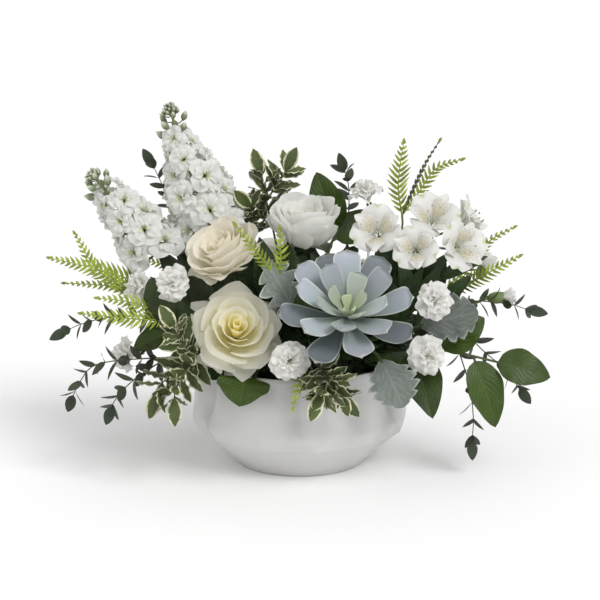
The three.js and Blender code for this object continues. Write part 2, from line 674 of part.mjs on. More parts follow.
// A square twig, on its stem if it has one, with leaves growing out of its sides, as one body. Each joint holds
// the leaves at one place along it. A leaf is given by its heading and the way its upper side looks, both as
// functions of the local frame. `grown` keeps the leaves of the whole spray, and `others` its other twigs.
function leafyTwig(curve, radius, joints, end, { grown = [], others = [], stem = null } = {}) {
  const steps = 60;
  const frames = curve.computeFrenetFrames(steps, false);
  const points = [];
  const faces = [];
  const add = (p) => points.push(p.clone()) - 1;
  const frameAt = (s) => {
    const k = Math.round(s * steps);
    const [along, x, y] = [frames.tangents[k], frames.normals[k], frames.binormals[k]];
    return { centre: curve.getPointAt(s), along, x, y };
  };
  const outAt = ({ x, y }, angle) => x.clone().multiplyScalar(Math.cos(angle)).addScaledVector(y, Math.sin(angle));
  const ringOf = (frame, size = radius) =>
    [0, 1, 2, 3].map((k) => {
      const angle = (k * Math.PI) / 2 - Math.PI / 4;
      return add(frame.centre.clone().addScaledVector(outAt(frame, angle), size));
    });
  const ringAt = (s, size) => ringOf(frameAt(s), size);
  // Whether a leaf touches neither a neighbour nor the rest of its spray. If so it counts as grown.
  const fits = (rings, base, flat) => {
    const leaf = looseLeaf(rings, base, 0.2, flat);
    if (!isClear(leaf) || [...grown, ...others].some((other) => other.minGap(leaf, 0.2) < 0.2)) return false;
    grown.push(leaf);
    return true;
  };
  // The first turn of a leaf that fits and stays off its own twig.
  const settle = (frame, leaf, used) => {
    for (const turn of TURNS) {
      const wanted = leaf.heading(frame).applyAxisAngle(frame.along, turn);
      const around = Math.atan2(wanted.dot(frame.y), wanted.dot(frame.x)) / (Math.PI / 2);
      const side = ((Math.round(around) % 4) + 4) % 4;
      if (used.has(side)) continue;
      const flat = !leaf.shape.stalk;
      const off = around - Math.round(around);
      const back = flat ? (clamp(off, -OFF_SIDE, OFF_SIDE) - off) * (Math.PI / 2) : 0;
      const heading = wanted.applyAxisAngle(frame.along, back);
      const face = leaf.face(frame).applyAxisAngle(frame.along, flat ? turn + back : 0);
      const outward = outAt(frame, (side * Math.PI) / 2);
      const base = frame.centre.clone().addScaledVector(outward, radius * 0.7);
      const rings = leafRings(base, heading, face, leaf.shape);
      if (own.minGap(looseLeaf(rings, base, 0.7, flat), 0.1) < 0.1 || !fits(rings, base, flat)) continue;
      used.add(side);
      return { side, outward, rings, flat };
    }
    return null;
  };
  // The rings of the stem below the twig, each turned as little as can be from the one above it.
  const stemRings = [];
  let above = frameAt(0);
  for (let i = stem ? stem.steps - 1 : -1; i >= 0; i--) {
    const along = stem.getTangent(i === 0 ? 0.01 : (i + 0.02) / stem.steps);
    const x = above.x.clone().addScaledVector(along, -above.x.dot(along)).normalize();
    above = { centre: stem.getPoint(i / stem.steps), along, x, y: along.clone().cross(x) };
    stemRings.unshift(ringOf(above));
  }
  const rings = [...stemRings, ringAt(0)];
  let low = rings[0];
  faces.push([low[0], low[2], low[1]], [low[0], low[3], low[2]]);
  const segment = (high, leaves = []) => {
    for (let k = 0; k < 4; k++) {
      const loop = [low[k], low[(k + 1) % 4], high[(k + 1) % 4], high[k]];
      const leaf = leaves.find(({ side }) => side === k);
      if (leaf) growLeaf(add, faces, points, loop, leaf.outward, leaf.rings, leaf.flat);
      else faces.push([loop[0], loop[1], loop[2]], [loop[0], loop[2], loop[3]]);
    }
    low = high;
  };
  rings.slice(1).forEach((ring) => segment(ring));
  const tipFrame = frameAt(1);
  const own = tube(curve, radius, 8);
  const last = leafRings(tipFrame.centre, end.heading(tipFrame), end.face(tipFrame), end.shape);
  const hasEnd = fits(last, tipFrame.centre, !end.shape.stalk);
  const half = (radius * 0.9) / curve.getLength();
  for (const { s, leaves } of joints) {
    const used = new Set();
    const frame = frameAt(s);
    const settled = leaves.map((leaf) => settle(frame, leaf, used)).filter(Boolean);
    if (settled.length) segment(ringAt(s - half));
    segment(ringAt(settled.length ? s + half : s), settled);
  }
  if (hasEnd) {
    segment(ringAt(1));
    growLeaf(add, faces, points, low, tipFrame.along, last, !end.shape.stalk);
  } else {
    const point = add(tipFrame.centre);
    for (let k = 0; k < 4; k++) faces.push([low[k], low[(k + 1) % 4], point]);
  }
  return solidOf(points, faces);
}

// A leaf that stands out from its twig: `around` is its place round the twig, `slant` its angle off it.
function twigLeaf(around, slant, shape, size = 1) {
  const out = ({ x, y }) => x.clone().multiplyScalar(Math.cos(around)).addScaledVector(y, Math.sin(around));
  const leaning = (frame, a, b) => frame.along.clone().multiplyScalar(a).addScaledVector(out(frame), b);
  return {
    heading: (frame) => leaning(frame, Math.cos(slant), Math.sin(slant)),
    face: (frame) => leaning(frame, Math.sin(slant), -Math.cos(slant)),
    shape: { ...shape, length: shape.length * size, width: shape.width * size },
  };
}

// The stem of a stock spike, which ends in oval buds above the florets.
function stockStem(name, curve) {
  const stem = freeWay(name, curve.getPoint(0), curve.getTangent(0), SPIKE.stem);
  const bare = Array.from({ length: SPIKE.steps - 1 }, (_, i) => ({ s: (i + 1) / SPIKE.steps, leaves: [] }));
  const buds = [0.85, 0.9, 0.95].map((s, i) => {
    const bud = (turn) => twigLeaf((i * Math.PI) / 2 + turn, 0.95, BUD, 1 - 0.16 * i);
    return { s, leaves: [bud(0), bud(Math.PI)] };
  });
  return leafyTwig(curve, SPIKE.stem, [...bare, ...buds], twigLeaf(0, 0, BUD, 0.7), { stem });
}

const KINDS = {
  // Opposite pairs of small dark leaves.
  eucalyptus: {
    colour: "eucalyptus",
    radius: 1,
    shape: { length: 18, width: 8.5, rows: [0.42, 1], power: 0.8, arch: 0.1, fold: 0.15 },
    joint: (i, count, shape) => {
      const s = mix(0.16, 0.93, i / Math.max(1, count - 1));
      const leaf = (turn) => twigLeaf(i * 1.15 + turn, 0.95, shape, mix(1.05, 0.85, s));
      return { s, leaves: [leaf(0), leaf(Math.PI)] };
    },
  },
  // Waved leaves in loose whorls, crowded at the tip.
  pittosporum: {
    colour: "variegated",
    radius: 1.1,
    shape: { length: 26, width: 12, rows: [0.4, 0.76, 1], power: 0.95, arch: 0.12, fold: 0.15, wave: 0.9 },
    joint: (i, count, shape) => {
      const s = 0.95 - 0.72 * (1 - i / Math.max(1, count - 1)) ** 1.2;
      const leaf = (turn) => twigLeaf(i * 1.9 + turn, mix(1.2, 0.8, s), shape, mix(0.85, 1, (i % 3) / 2));
      return { s, leaves: [leaf(0), leaf(2.4)] };
    },
  },
};

// Leafy sprays: twigs by the points they pass, with their count of leaf pairs. The first twig of a spray runs
// on into the foam, and the others leave it.
const SPRAYS = [
  {
    name: "eucalyptus_top_left",
    kind: "eucalyptus",
    twigs: [{ line: [at(-104, 40, 192), at(-119, 50, 226), at(-131, 52, 253), at(-138, 52, 268)], pairs: 6 }],
  },
  {
    name: "eucalyptus_left",
    kind: "eucalyptus",
    twigs: [
      { line: [at(-128, -10, 138), at(-172, -18, 138), at(-196, -24, 134), at(-212, -28, 128)], pairs: 6 },
    ],
  },
  {
    name: "eucalyptus_low_left",
    kind: "eucalyptus",
    twigs: [
      {
        line: [at(-118, -62, 112), at(-160, -80, 114), at(-184, -72, 106), at(-196, -70, 90), at(-202, -68, 78)],
        pairs: 6,
      },
      { line: [at(-118, -62, 112), at(-146, -82, 97), at(-162, -84, 80), at(-166, -84, 72)], pairs: 4 },
    ],
  },
  {
    name: "eucalyptus_top",
    kind: "eucalyptus",
    twigs: [{ line: [at(46, 60, 208), at(46, 60, 244), at(42, 58, 262)], pairs: 3 }],
  },
  {
    name: "eucalyptus_right",
    kind: "eucalyptus",
    twigs: [
      { line: [at(133, -22, 150), at(160, -30, 158), at(192, -34, 158), at(212, -36, 155)], pairs: 4 },
      { line: [at(133, -22, 150), at(160, -44, 118), at(186, -48, 96), at(198, -48, 78)], pairs: 4 },
      {
        line: [at(133, -22, 150), at(142, -40, 116), at(152, -52, 84), at(156, -56, 54), at(155, -58, 32)],
        pairs: 5,
      },
    ],
  },
  {
    name: "eucalyptus_rear",
    kind: "eucalyptus",
    twigs: [
      { line: [at(-16, 92, 128), at(-20, 126, 132), at(-22, 150, 124), at(-22, 166, 108)], pairs: 4 },
      { line: [at(-16, 92, 128), at(-44, 122, 118), at(-60, 134, 96)], pairs: 3 },
    ],
  },
  {
    name: "pittosporum_top",
    kind: "pittosporum",
    twigs: [
      { line: [at(-24, 28, 206), at(-33, 26, 248), at(-36, 24, 264)], pairs: 3 },
      { line: [at(-31, 26, 238), at(-19, 24, 257), at(-13, 22, 267)], pairs: 2 },
      { line: [at(-26, 28, 214), at(-42, 22, 228), at(-46, 18, 234)], pairs: 2 },
    ],
  },
  {
    name: "pittosporum_left",
    kind: "pittosporum",
    twigs: [
      { line: [at(-90, -80, 120), at(-104, -92, 136), at(-109, -96, 148)], pairs: 4 },
      { line: [at(-90, -80, 120), at(-104, -98, 113), at(-118, -106, 102), at(-123, -108, 92)], pairs: 3 },
      { line: [at(-90, -80, 120), at(-99, -101, 110), at(-107, -113, 97), at(-108, -115, 89)], pairs: 2 },
    ],
  },
  {
    name: "pittosporum_front",
    kind: "pittosporum",
    twigs: [
      { line: [at(16, -104, 116), at(24, -118, 110), at(32, -124, 100), at(36, -124, 94)], pairs: 3 },
      { line: [at(24, -117, 110), at(20, -126, 100), at(17, -126, 94)], pairs: 2 },
    ],
  },
];

function makeSpray({ name, kind, twigs }) {
  const { colour, radius, shape, joint } = KINDS[kind];
  const first = smoothCurve(twigs[0].line);
  const stem = freeWay(name, first.getPoint(0), first.getTangent(0), radius);
  const curves = twigs.map(({ line }) => smoothCurve(line));
  const bare = curves.map((curve) => tube(curve, radius, 5));
  const grown = [];
  const solids = curves.map((curve, i) => {
    const others = bare.filter((_, k) => k !== i);
    const joints = Array.from({ length: twigs[i].pairs }, (_, k) => joint(k, twigs[i].pairs, shape));
    const options = { grown, others, stem: i === 0 ? stem : null };
    return leafyTwig(curve, radius, joints, twigLeaf(0, 0.1, shape), options);
  });
  addNode(name, fuse(solids), colour);
}

// ---------------------------------------------------------------- fern fronds
// A frond is one thin arched blade, cut to its rib into pairs of leaflets that thin out to their points.
function frond(curve, face, { pairs, reach, rib = 1.6, thickness = 0.9, sweep = 0.5, lift = 0.25 }) {
  const points = [];
  const faces = [];
  const station = (s) => {
    const along = curve.getTangent(s);
    const side = at(0, 0, 0).crossVectors(along, face).normalize();
    return { centre: curve.getPoint(s), along, side, out: side.clone().cross(along) };
  };
  const both = (point, out) => {
    for (const side of [1, -1]) points.push(point.clone().addScaledVector(out, (side * thickness) / 2));
    return points.length - 2;
  };
  const single = (point) => points.push(point) - 1;
  const rows = [];
  for (let i = 0; i <= pairs; i++) {
    const { centre, along, side, out } = station(i / (pairs + 0.6));
    const ends = [-1, 1].map((sign) => both(centre.clone().addScaledVector(side, (sign * rib) / 2), out));
    const s = i / pairs;
    const far = reach * Math.min(1, 0.45 + s * 2.2) * Math.min(1, (1.12 - s) * 1.6);
    const tips = [-1, 1].map((sign) => {
      const tip = centre.clone().addScaledVector(side, sign * far * Math.cos(sweep));
      tip.addScaledVector(along, far * Math.sin(sweep)).addScaledVector(out, far * lift);
      return i < pairs ? single(tip) : -1;
    });
    rows.push({ left: ends[0], right: ends[1], leftTip: tips[0], rightTip: tips[1] });
  }
  const end = single(curve.getPoint(1));
  const rung = (a, b, c) => faces.push([a, b, c], [a + 1, c + 1, b + 1]);
  const leaflet = (a, tip, b) => {
    faces.push([a, tip, b], [a + 1, b + 1, tip], [a, a + 1, tip], [tip, b + 1, b]);
  };
  for (let i = 0; i < pairs; i++) {
    const [low, high] = [rows[i], rows[i + 1]];
    rung(low.left, low.right, high.right);
    rung(low.left, high.right, high.left);
    leaflet(low.right, low.rightTip, high.right);
    leaflet(high.left, low.leftTip, low.left);
  }
  const [first, last] = [rows[0], rows[pairs]];
  faces.push([last.left, last.right, end], [last.right, last.right + 1, end]);
  faces.push([last.right + 1, last.left + 1, end], [last.left + 1, last.left, end]);
  faces.push([first.left, first.left + 1, first.right + 1], [first.left, first.right + 1, first.right]);
  return solidOf(points, faces);
}

// Ferns: the fork, and for each frond the points it passes from there, its leaflet pairs and its half width.
const FERNS = [
  {
    name: "fern_left",
    fork: at(-128, -4, 160),
    fronds: [
      { past: [at(-150, -14, 171), at(-186, -24, 185), at(-224, -28, 195)], pairs: 11, reach: 13 },
      { past: [at(-154, -20, 165), at(-180, -44, 188), at(-198, -50, 221)], pairs: 10, reach: 11 },
      { past: [at(-154, -4, 162), at(-184, -8, 166), at(-214, -10, 168)], pairs: 8, reach: 8 },
    ],
  },
  {
    name: "fern_low_left",
    fork: at(-112, -42, 144),
    fronds: [
      { past: [at(-134, -60, 146), at(-160, -64, 149), at(-192, -66, 153)], pairs: 10, reach: 11 },
      { past: [at(-134, -56, 156), at(-155, -60, 163), at(-178, -62, 166)], pairs: 8, reach: 10 },
    ],
  },
  {
    name: "fern_centre",
    fork: at(-22, -66, 186),
    fronds: [
      { past: [at(-30, -74, 200), at(-42, -84, 218), at(-55, -88, 236)], pairs: 8, reach: 8 },
      { past: [at(-17, -72, 200), at(-17, -76, 214), at(-18, -76, 230)], pairs: 8, reach: 9 },
    ],
  },
  {
    name: "fern_right_top",
    fork: at(94, 18, 226),
    fronds: [
      { past: [at(90, 14, 250), at(91, 12, 272), at(94, 12, 294)], pairs: 11, reach: 13 },
      { past: [at(104, 20, 250), at(115, 20, 274), at(127, 20, 294)], pairs: 9, reach: 6 },
      { past: [at(111, 26, 248), at(125, 26, 268), at(148, 22, 277)], pairs: 9, reach: 9 },
    ],
  },
  {
    name: "fern_right",
    fork: at(132, -12, 164),
    fronds: [
      { past: [at(146, -28, 170), at(168, -46, 186), at(193, -54, 202)], pairs: 10, reach: 11 },
      { past: [at(156, -2, 182), at(172, -6, 206), at(193, -12, 220)], pairs: 8, reach: 8 },
    ],
  },
  {
    name: "fern_front",
    fork: at(8, -96, 106),
    fronds: [
      { past: [at(4, -112, 105), at(2, -122, 98), at(0, -125, 84)], pairs: 7, reach: 8 },
    ],
  },
  {
    name: "fern_rear",
    fork: at(-80, 58, 150),
    fronds: [
      { past: [at(-98, 72, 170), at(-114, 84, 194), at(-126, 94, 218)], pairs: 9, reach: 12 },
      { past: [at(-106, 78, 158), at(-132, 92, 164), at(-158, 102, 168)], pairs: 8, reach: 12 },
    ],
  },
];

function makeFern({ name, fork, fronds }) {
  const heading = smoothCurve([fork, ...fronds[0].past]).getTangent(0);
  const solids = [routeStem(name, fork.clone().addScaledVector(heading, 1), heading, 1.1)];
  for (const { past, pairs, reach } of fronds) {
    const leaf = frond(smoothCurve([fork, ...past]), TOWARDS_VIEWER, { pairs, reach });
    if (isClear(leaf)) solids.push(leaf);
  }
  addNode(name, fuse(solids), "fern");
}

// ---------------------------------------------------------------- large leaves
// A felted leaf cut into rounded lobes: a plate from its outline, bent along and across.
function lobedLeaf({ base, tip, width, face = TOWARDS_VIEWER, arch = 0.15 }, turn = 0) {
  const along = tip.clone().sub(base);
  const length = along.length();
  const outline = [new THREE.Vector2(1.6, 0), new THREE.Vector2(2, length * 0.2)];
  const lobes = 4;
  for (let i = 0; i < lobes; i++) {
    const low = mix(0.26, 0.8, i / (lobes - 1)) * length;
    const reach = (width / 2) * [0.72, 1, 0.95, 0.55][i];
    outline.push(new THREE.Vector2(reach * 0.45, low));
    outline.push(new THREE.Vector2(reach, low + length * 0.05));
    outline.push(new THREE.Vector2(reach * 0.92, low + length * 0.15));
  }
  outline.push(new THREE.Vector2(width * 0.1, length));
  const mirrored = outline.map((p) => new THREE.Vector2(-p.x, p.y)).reverse();
  const thickness = 1;
  const plate = new THREE.ExtrudeGeometry(new THREE.Shape([...outline, ...mirrored]), {
    depth: thickness,
    bevelEnabled: false,
    steps: 1,
  });
  const position = plate.attributes.position;
  for (let i = 0; i < position.count; i++) {
    const [x, y] = [position.getX(i), position.getY(i)];
    const lift = 0.18 * Math.abs(x) + arch * length * (y / length) * (1 - y / length) * 2;
    position.setZ(i, position.getZ(i) + lift);
  }
  const axes = bladeAxes(base, along, face).multiply(new THREE.Matrix4().makeRotationY(turn));
  return place(solidFrom(plate), axes);
}

// Leafy stems: the points each passes after the foam, and for each leaf its place along the stem, its tip, its
// width and the way its upper side looks. The leaf at the stem's end is `end`.
const BRANCHES = [
  {
    name: "salal_front",
    line: [at(-40, -70, 102), at(-48, -86, 101.5)],
    leaves: [],
    end: { tip: at(-51, -124, 91), width: 46, face: toward(0, -1, 0.25) },
  },
  {
    name: "salal_left",
    line: [at(-84, -40, 124), at(-98, -48, 130), at(-112, -56, 140)],
    leaves: [
      { s: 0.3, tip: at(-134, -26, 122), width: 32, face: toward(-0.2, -0.1, 0.95) },
      { s: 0.75, tip: at(-146, -74, 128), width: 32, face: toward(-0.2, -0.6, 0.8) },
    ],
    end: { tip: at(-134, -62, 180), width: 32, face: toward(-0.3, -0.9, 0.2) },
  },
  {
    name: "salal_right",
    line: [at(90, -46, 114), at(122, -58, 118), at(150, -62, 114), at(172, -64, 109)],
    leaves: [
      { s: 0.12, tip: at(115, -112, 80), width: 36, face: toward(0.15, -0.95, 0.3) },
      { s: 0.42, tip: at(162, -58, 148), width: 34, face: toward(0.1, -0.8, 0.55) },
      { s: 0.78, tip: at(176, -84, 56), width: 34, face: toward(0.25, -0.9, 0.3) },
    ],
    end: { tip: at(222, -72, 99), width: 33, face: toward(0.1, -0.85, 0.5) },
  },
  {
    name: "salal_top",
    line: [at(24, 22, 184), at(30, 26, 200), at(36, 28, 210)],
    leaves: [
      { s: 0.2, tip: at(-2, 58, 204), width: 34, face: toward(0, 0.2, 0.95) },
      { s: 0.6, tip: at(76, 40, 226), width: 32, face: toward(0.2, -0.8, 0.6) },
    ],
    end: { tip: at(14, 26, 262), width: 34, face: toward(-0.3, -0.9, 0.3) },
  },
  {
    name: "salal_rear",
    line: [at(4, 78, 118), at(-26, 90, 122), at(-64, 88, 124), at(-92, 74, 124)],
    leaves: [
      { s: 0.15, tip: at(34, 124, 84), width: 38, face: toward(0.1, 0.9, 0.4) },
      { s: 0.45, tip: at(-36, 134, 70), width: 42, face: toward(0, 1, 0.3) },
      { s: 0.8, tip: at(-100, 118, 84), width: 40, face: toward(-0.3, 0.9, 0.4) },
    ],
    end: { tip: at(-142, 52, 128), width: 34, face: toward(-0.3, 0.3, 0.9) },
  },
  {
    name: "salal_rear_right",
    line: [at(78, 44, 122), at(92, 52, 126), at(102, 58, 124)],
    leaves: [{ s: 0.4, tip: at(148, 32, 136), width: 36, face: toward(0.3, 0.1, 0.9) }],
    end: { tip: at(140, 84, 94), width: 38, face: toward(0.6, 0.5, 0.6) },
  },
];
const SALAL = {
  radius: 1.7,
  stalk: 1.6,
  rows: [0.1, 0.3, 0.56, 0.82, 1],
  thick: 1.4,
  power: 0.8,
  arch: 0.3,
  fold: 0.16,
  wave: 0.8,
};

function makeBranch({ name, line, leaves, end }) {
  const curve = smoothCurve(line);
  const stem = freeWay(name, curve.getPoint(0), curve.getTangent(0), SALAL.radius);
  const toTip = ({ tip, width, face }, from) => ({
    heading: () => tip.clone().sub(from),
    face: () => face.clone(),
    shape: { ...SALAL, length: tip.distanceTo(from), width },
  });
  const joints = leaves.map((leaf) => ({ s: leaf.s, leaves: [toTip(leaf, curve.getPointAt(leaf.s))] }));
  addNode(name, leafyTwig(curve, SALAL.radius, joints, toTip(end, line.at(-1)), { stem }), "glossy");
}

const FELTED_STALK = 1.5;
const FELTED = [
  {
    name: "dusty_miller_centre",
    base: at(-4, -62, 136),
    tip: at(-30, -82, 196),
    width: 40,
    face: toward(0.2, -0.95, 0.2),
  },
  {
    name: "dusty_miller_low",
    base: at(70, -100, 120),
    tip: at(88, -124, 86),
    width: 42,
    face: toward(0.1, -0.9, 0.4),
  },
  {
    name: "dusty_miller_right",
    base: at(106, -66, 142),
    tip: at(155, -72, 156),
    width: 40,
    face: toward(0.2, -0.9, 0.4),
  },
];

// A felted leaf at the first turn that touches nothing.
function clearLeaf(leaf) {
  const turned = TURNS.map((turn) => () => lobedLeaf(leaf, turn));
  for (const make of turned) {
    const solid = make();
    if (isClear(solid)) return solid;
  }
  throw new Error("no room for " + leaf.name);
}

function makeFelted(leaf) {
  const along = leaf.tip.clone().sub(leaf.base).normalize();
  const root = leaf.base.clone().addScaledVector(along, 3);
  addNode(leaf.name, fuse([routeStem(leaf.name, root, along, FELTED_STALK), clearLeaf(leaf)]), "silver");
}

// ---------------------------------------------------------------- assembly
addNode("bowl", makeBowl(), "ceramic");

const rose = roseBloom();
for (const spec of ROSES) {
  setBloom(spec.name + "_bloom", rose, spec, ROSE_DEPTH, spec.name === "rose_left" ? "cream" : "white");
}
setBloom("succulent_rosette", rosette(), SUCCULENT, ROSETTE.depth, "blue");
const alstroemeria = alstroemeriaBloom();
const umbel = ALSTROEMERIA.blooms.map((spec, i) => {
  const name = "alstroemeria_bloom_" + (i + 1);
  setBloom(name, alstroemeria, spec, ALSTROEMERIA.depth, "white");
  return name;
});
const carnation = carnationBloom();
for (const spray of CARNATIONS) {
  spray.names = spray.blooms.map((spec, i) => {
    const name = spray.name.replace("spray", "bloom") + "_" + (i + 1);
    setBloom(name, carnation, { ...spec, roll: i }, CARNATION_DEPTH, "white");
    return name;
  });
}
const spikes = STOCKS.map(({ name, line, florets, reach }) => {
  const curve = smoothCurve(line);
  const solid = stockFlorets(curve, florets, reach);
  addNode(name + "_florets", solid, "white");
  return { name: name + "_stem", curve };
});
for (const { name, curve } of spikes) addNode(name, stockStem(name, curve), "stem");

for (const { name } of ROSES) {
  addNode(name + "_stem", singleStem(name, name + "_bloom", roseCalyx(), 13, 2.4), "stem");
}
const stub = solidFrom(lathe([[0, -8], [3.4, -8], [4.4, 0], [0, 0]], 6));
addNode("succulent_stem", singleStem("succulent", "succulent_rosette", stub, 8, 3.2), "stem");
addNode("alstroemeria_stem", sprayOfBlooms(ALSTROEMERIA, umbel, ALSTROEMERIA_OVARY, 1.3), "stem");
for (const spray of CARNATIONS) {
  addNode(spray.name + "_stems", sprayOfBlooms(spray, spray.names, CARNATION_CALYX, 1.2), "stem");
}

BRANCHES.forEach(makeBranch);
FELTED.forEach(makeFelted);
FERNS.forEach(makeFern);
SPRAYS.forEach(makeSpray);

function makeFoam() {
  const { foot, bottom, radius, top, sides } = FOAM;
  const profile = [[0, bottom], [foot, bottom], [radius, 30], [radius, 106], [38, 136], [0, top]];
  const block = solidFrom(lathe(profile, sides));
  const bores = holes.map(({ entry, radius: stem }) => {
    const low = entry.clone().multiplyScalar(STEM_SEAT.inner - 0.5).add(FOAM.centre);
    const high = entry.clone().multiplyScalar(STEM_SEAT.outer + 4).add(FOAM.centre);
    return tube(new THREE.LineCurve3(low, high), (stem + GAP) * Math.SQRT2, 1);
  });
  return block.subtract(fuse(bores));
}
addNode("floral_foam", makeFoam(), "foam");

export default root;
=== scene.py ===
"""A low floral centerpiece in a pleated white bowl, with the fine shapes and colours of the finished piece.

Lengths are in millimetres until a mesh is made. +Z is up and -Y is the front.
"""
import math
import random
from functools import partial

import bpy
import numpy as np
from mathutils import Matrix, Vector


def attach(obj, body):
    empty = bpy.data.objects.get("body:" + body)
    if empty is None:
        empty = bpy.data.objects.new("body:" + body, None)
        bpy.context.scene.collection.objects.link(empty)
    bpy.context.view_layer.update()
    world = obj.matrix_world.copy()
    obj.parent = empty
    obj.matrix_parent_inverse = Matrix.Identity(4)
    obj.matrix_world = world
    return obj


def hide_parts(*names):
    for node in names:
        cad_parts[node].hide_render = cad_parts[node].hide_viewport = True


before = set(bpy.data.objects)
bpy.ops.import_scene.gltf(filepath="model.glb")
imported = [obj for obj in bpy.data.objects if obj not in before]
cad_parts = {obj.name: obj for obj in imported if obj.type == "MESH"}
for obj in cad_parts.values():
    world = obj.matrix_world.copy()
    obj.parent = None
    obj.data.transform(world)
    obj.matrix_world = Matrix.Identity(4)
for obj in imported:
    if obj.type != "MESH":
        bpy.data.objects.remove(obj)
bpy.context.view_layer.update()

MM = 0.001
TAU = 2 * math.pi
GOLDEN = math.pi * (3 - math.sqrt(5))
ANY_PHASE = 6.28
BODY = "root"
UP = np.array([0.0, 0.0, 1.0])
VIEWER = np.array([0.0, -0.97, 0.22])

# ---------------------------------------------------------------- sizes and places
# Each stem comes out of the foam on a line from its centre, between the inner and the outer distance.
FOAM = {"centre": np.array([0.0, 0.0, 85.0]), "inner": 44, "outer": 71}
STEM_STEPS = 14

# The bowl's outline as radius and height: cone above the foot, crease, wall, round lip and the inside.
BOWL = {"foot": 62, "crease": 94, "crease_z": 34, "belly": 98.7, "sides": 240}
BOWL_WALL = [(97.7, 41.5), (98.6, 45), (98.7, 52), (97.2, 72), (93.7, 86), (90.7, 95.5)]
BOWL_LIP = {"radius": 2.3, "middle": (87.7, 95.8)}
BOWL_INSIDE = [(88, 86), (91.4, 72), (93.4, 56), (92.8, 44), (87.5, 37), (58, 7.6), (30, 6.2), (0, 6)]
# What shapes its wall. Rise and fade are the heights between which each comes in and runs out.
PLEATS = {"count": 6, "depth": 9, "half_width": math.radians(12.5), "sharpness": 1.35, "rise": (40, 66)}
FACETS = {"count": 12, "first_edge": math.radians(-80), "share": 0.8, "rise": (2, 34), "fade": (38, 60)}
RIDGE = {"width": math.radians(1.6), "height": 0.018, "rise": (30, 36), "fade": (46, 56)}
RIDGE_LEAN = {"angle": math.radians(9), "fade": (30, 52)}


def ring_of(count, start, bend, end, spread, **more):
    """A ring of petals. Their middle line runs from start over bend to end, each a radius and a height, and
    they spread to both sides of it by an angle."""
    return dict(count=count, start=start, bend=bend, end=end, spread=spread, **more)


# What a petal has unless its ring says otherwise.
PETAL = dict(
    ruffle=0, waves=2, teeth=0, tooth_count=6, round=0.14, roll=0, curl=0, point=0, root=0.5,
    lean=0.05, shift=(0, 0),
)

# A rose with more cup is less open: the ends of its outer petals stand higher and further in.
ROSE_DEPTH = 30
ROSE_CUP = {"bend": (7, -5), "end": (-8.5, 14), "less_curl": 0.7}
ROSES = [
    dict(name="front", petals="ivory", middle=(-55, -88, 145), facing=(0.1, -0.86, 0.5), roll=0.5,
         scale=1.0, ruffle=0.8, point=1.3, cup=0.0, shift=(3.0, 4.0)),
    dict(name="left", petals="cream", middle=(-72, -50, 212), facing=(-0.45, -0.42, 0.79), roll=1.1,
         scale=0.98, ruffle=1.7, point=0.5, cup=0.3, shift=(0, 0)),
    dict(name="top", petals="snow", middle=(4, -18, 231), facing=(0.02, -0.3, 0.95), roll=0.2,
         scale=0.98, ruffle=1.9, point=0.15, cup=1.0, shift=(0, 0)),
    dict(name="rear", petals="snow", middle=(-28, 88, 168), facing=(-0.1, 0.78, 0.62), roll=0.9,
         scale=0.95, ruffle=1.0, point=0.8, cup=0.2, shift=(0, 0)),
]
ROSE_RINGS = [
    ring_of(6, (3, 1), (24, 13), (34.5, 19.5), 0.7, roll=4.0, point=8.5, curl=8),
    ring_of(5, (2.5, 1), (25, 12), (31, 28.5), 0.76, roll=5.5, point=4, curl=4),
    ring_of(4, (2, 1), (26, 13), (26.5, 34), 0.98, roll=4.6, point=1.6, curl=1),
    ring_of(3, (2, 1), (19, 15), (18.5, 37.5), 1.25, roll=4.0, point=0.8),
    ring_of(3, (1, 2), (12.5, 17), (12, 37), 1.25, roll=2.6),
    ring_of(2, (1, 3), (7, 18), (7, 35.5), 1.8, roll=1.4),
    ring_of(2, (0.5, 3), (3.2, 18), (3.2, 34), 1.7, roll=0.6),
]

CARNATION_DEPTH = 12
CARNATION_PETAL = dict(ruffle=2.9, waves=2.4, teeth=0.055, tooth_count=7, round=0.14, roll=1.5, root=0.25)
CARNATION_RINGS = [
    ring_of(5, (1.6, 0), (7, 11), (19.5, 8), 0.86, age=1.0),
    ring_of(4, (1.6, 1), (4.5, 15), (16, 13.5), 0.92, age=0.85),
    ring_of(4, (1.6, 2), (2.5, 17), (10.5, 18), 0.86, age=0.7),
    ring_of(2, (1, 3), (1.5, 17), (5, 20), 1.2, age=0.5),
]
# Middle of the bloom and the way it faces.
CARNATIONS = {
    "left_1": ((-113, -68, 180), (-0.4, -0.85, 0.3)),
    "left_2": ((-147, -40, 171), (-0.9, -0.4, 0.15)),
    "left_3": ((-159, -50, 111), (-0.93, -0.4, 0.05)),
    "front_1": ((-9, -120, 124), (0.05, -0.98, 0.15)),
    "right_1": ((118, -84, 170), (0.35, -0.9, 0.22)),
    "right_2": ((112, -92, 121), (0.3, -0.95, 0.08)),
    "top_1": ((60, 20, 250), (-0.25, 0.1, 0.95)),
    "rear_1": ((62, 96, 156), (0.35, 0.85, 0.4)),
}

# Carnation buds: foot of the stem, its middle, base of the bud, its way and how open it is.
BUDS = [
    ((98, -46, 140), (140, -32, 148), (170, -24, 157), (1, -0.15, 0.12), 0.25),
    ((98, -46, 140), (136, -22, 158), (162, -14, 174), (0.4, -0.3, 0.85), 0.75),
]
BUD_CUP = [(1.4, -1), (4.2, 2), (5.6, 7), (5.2, 12), (4.6, 15)]
BUD_PETAL = dict(start=(2.4, 8), bend=(4.2, 16), spread=0.8, ruffle=1.2, round=0.15, teeth=0.05, age=0.8)

ALSTROEMERIA_DEPTH = 20
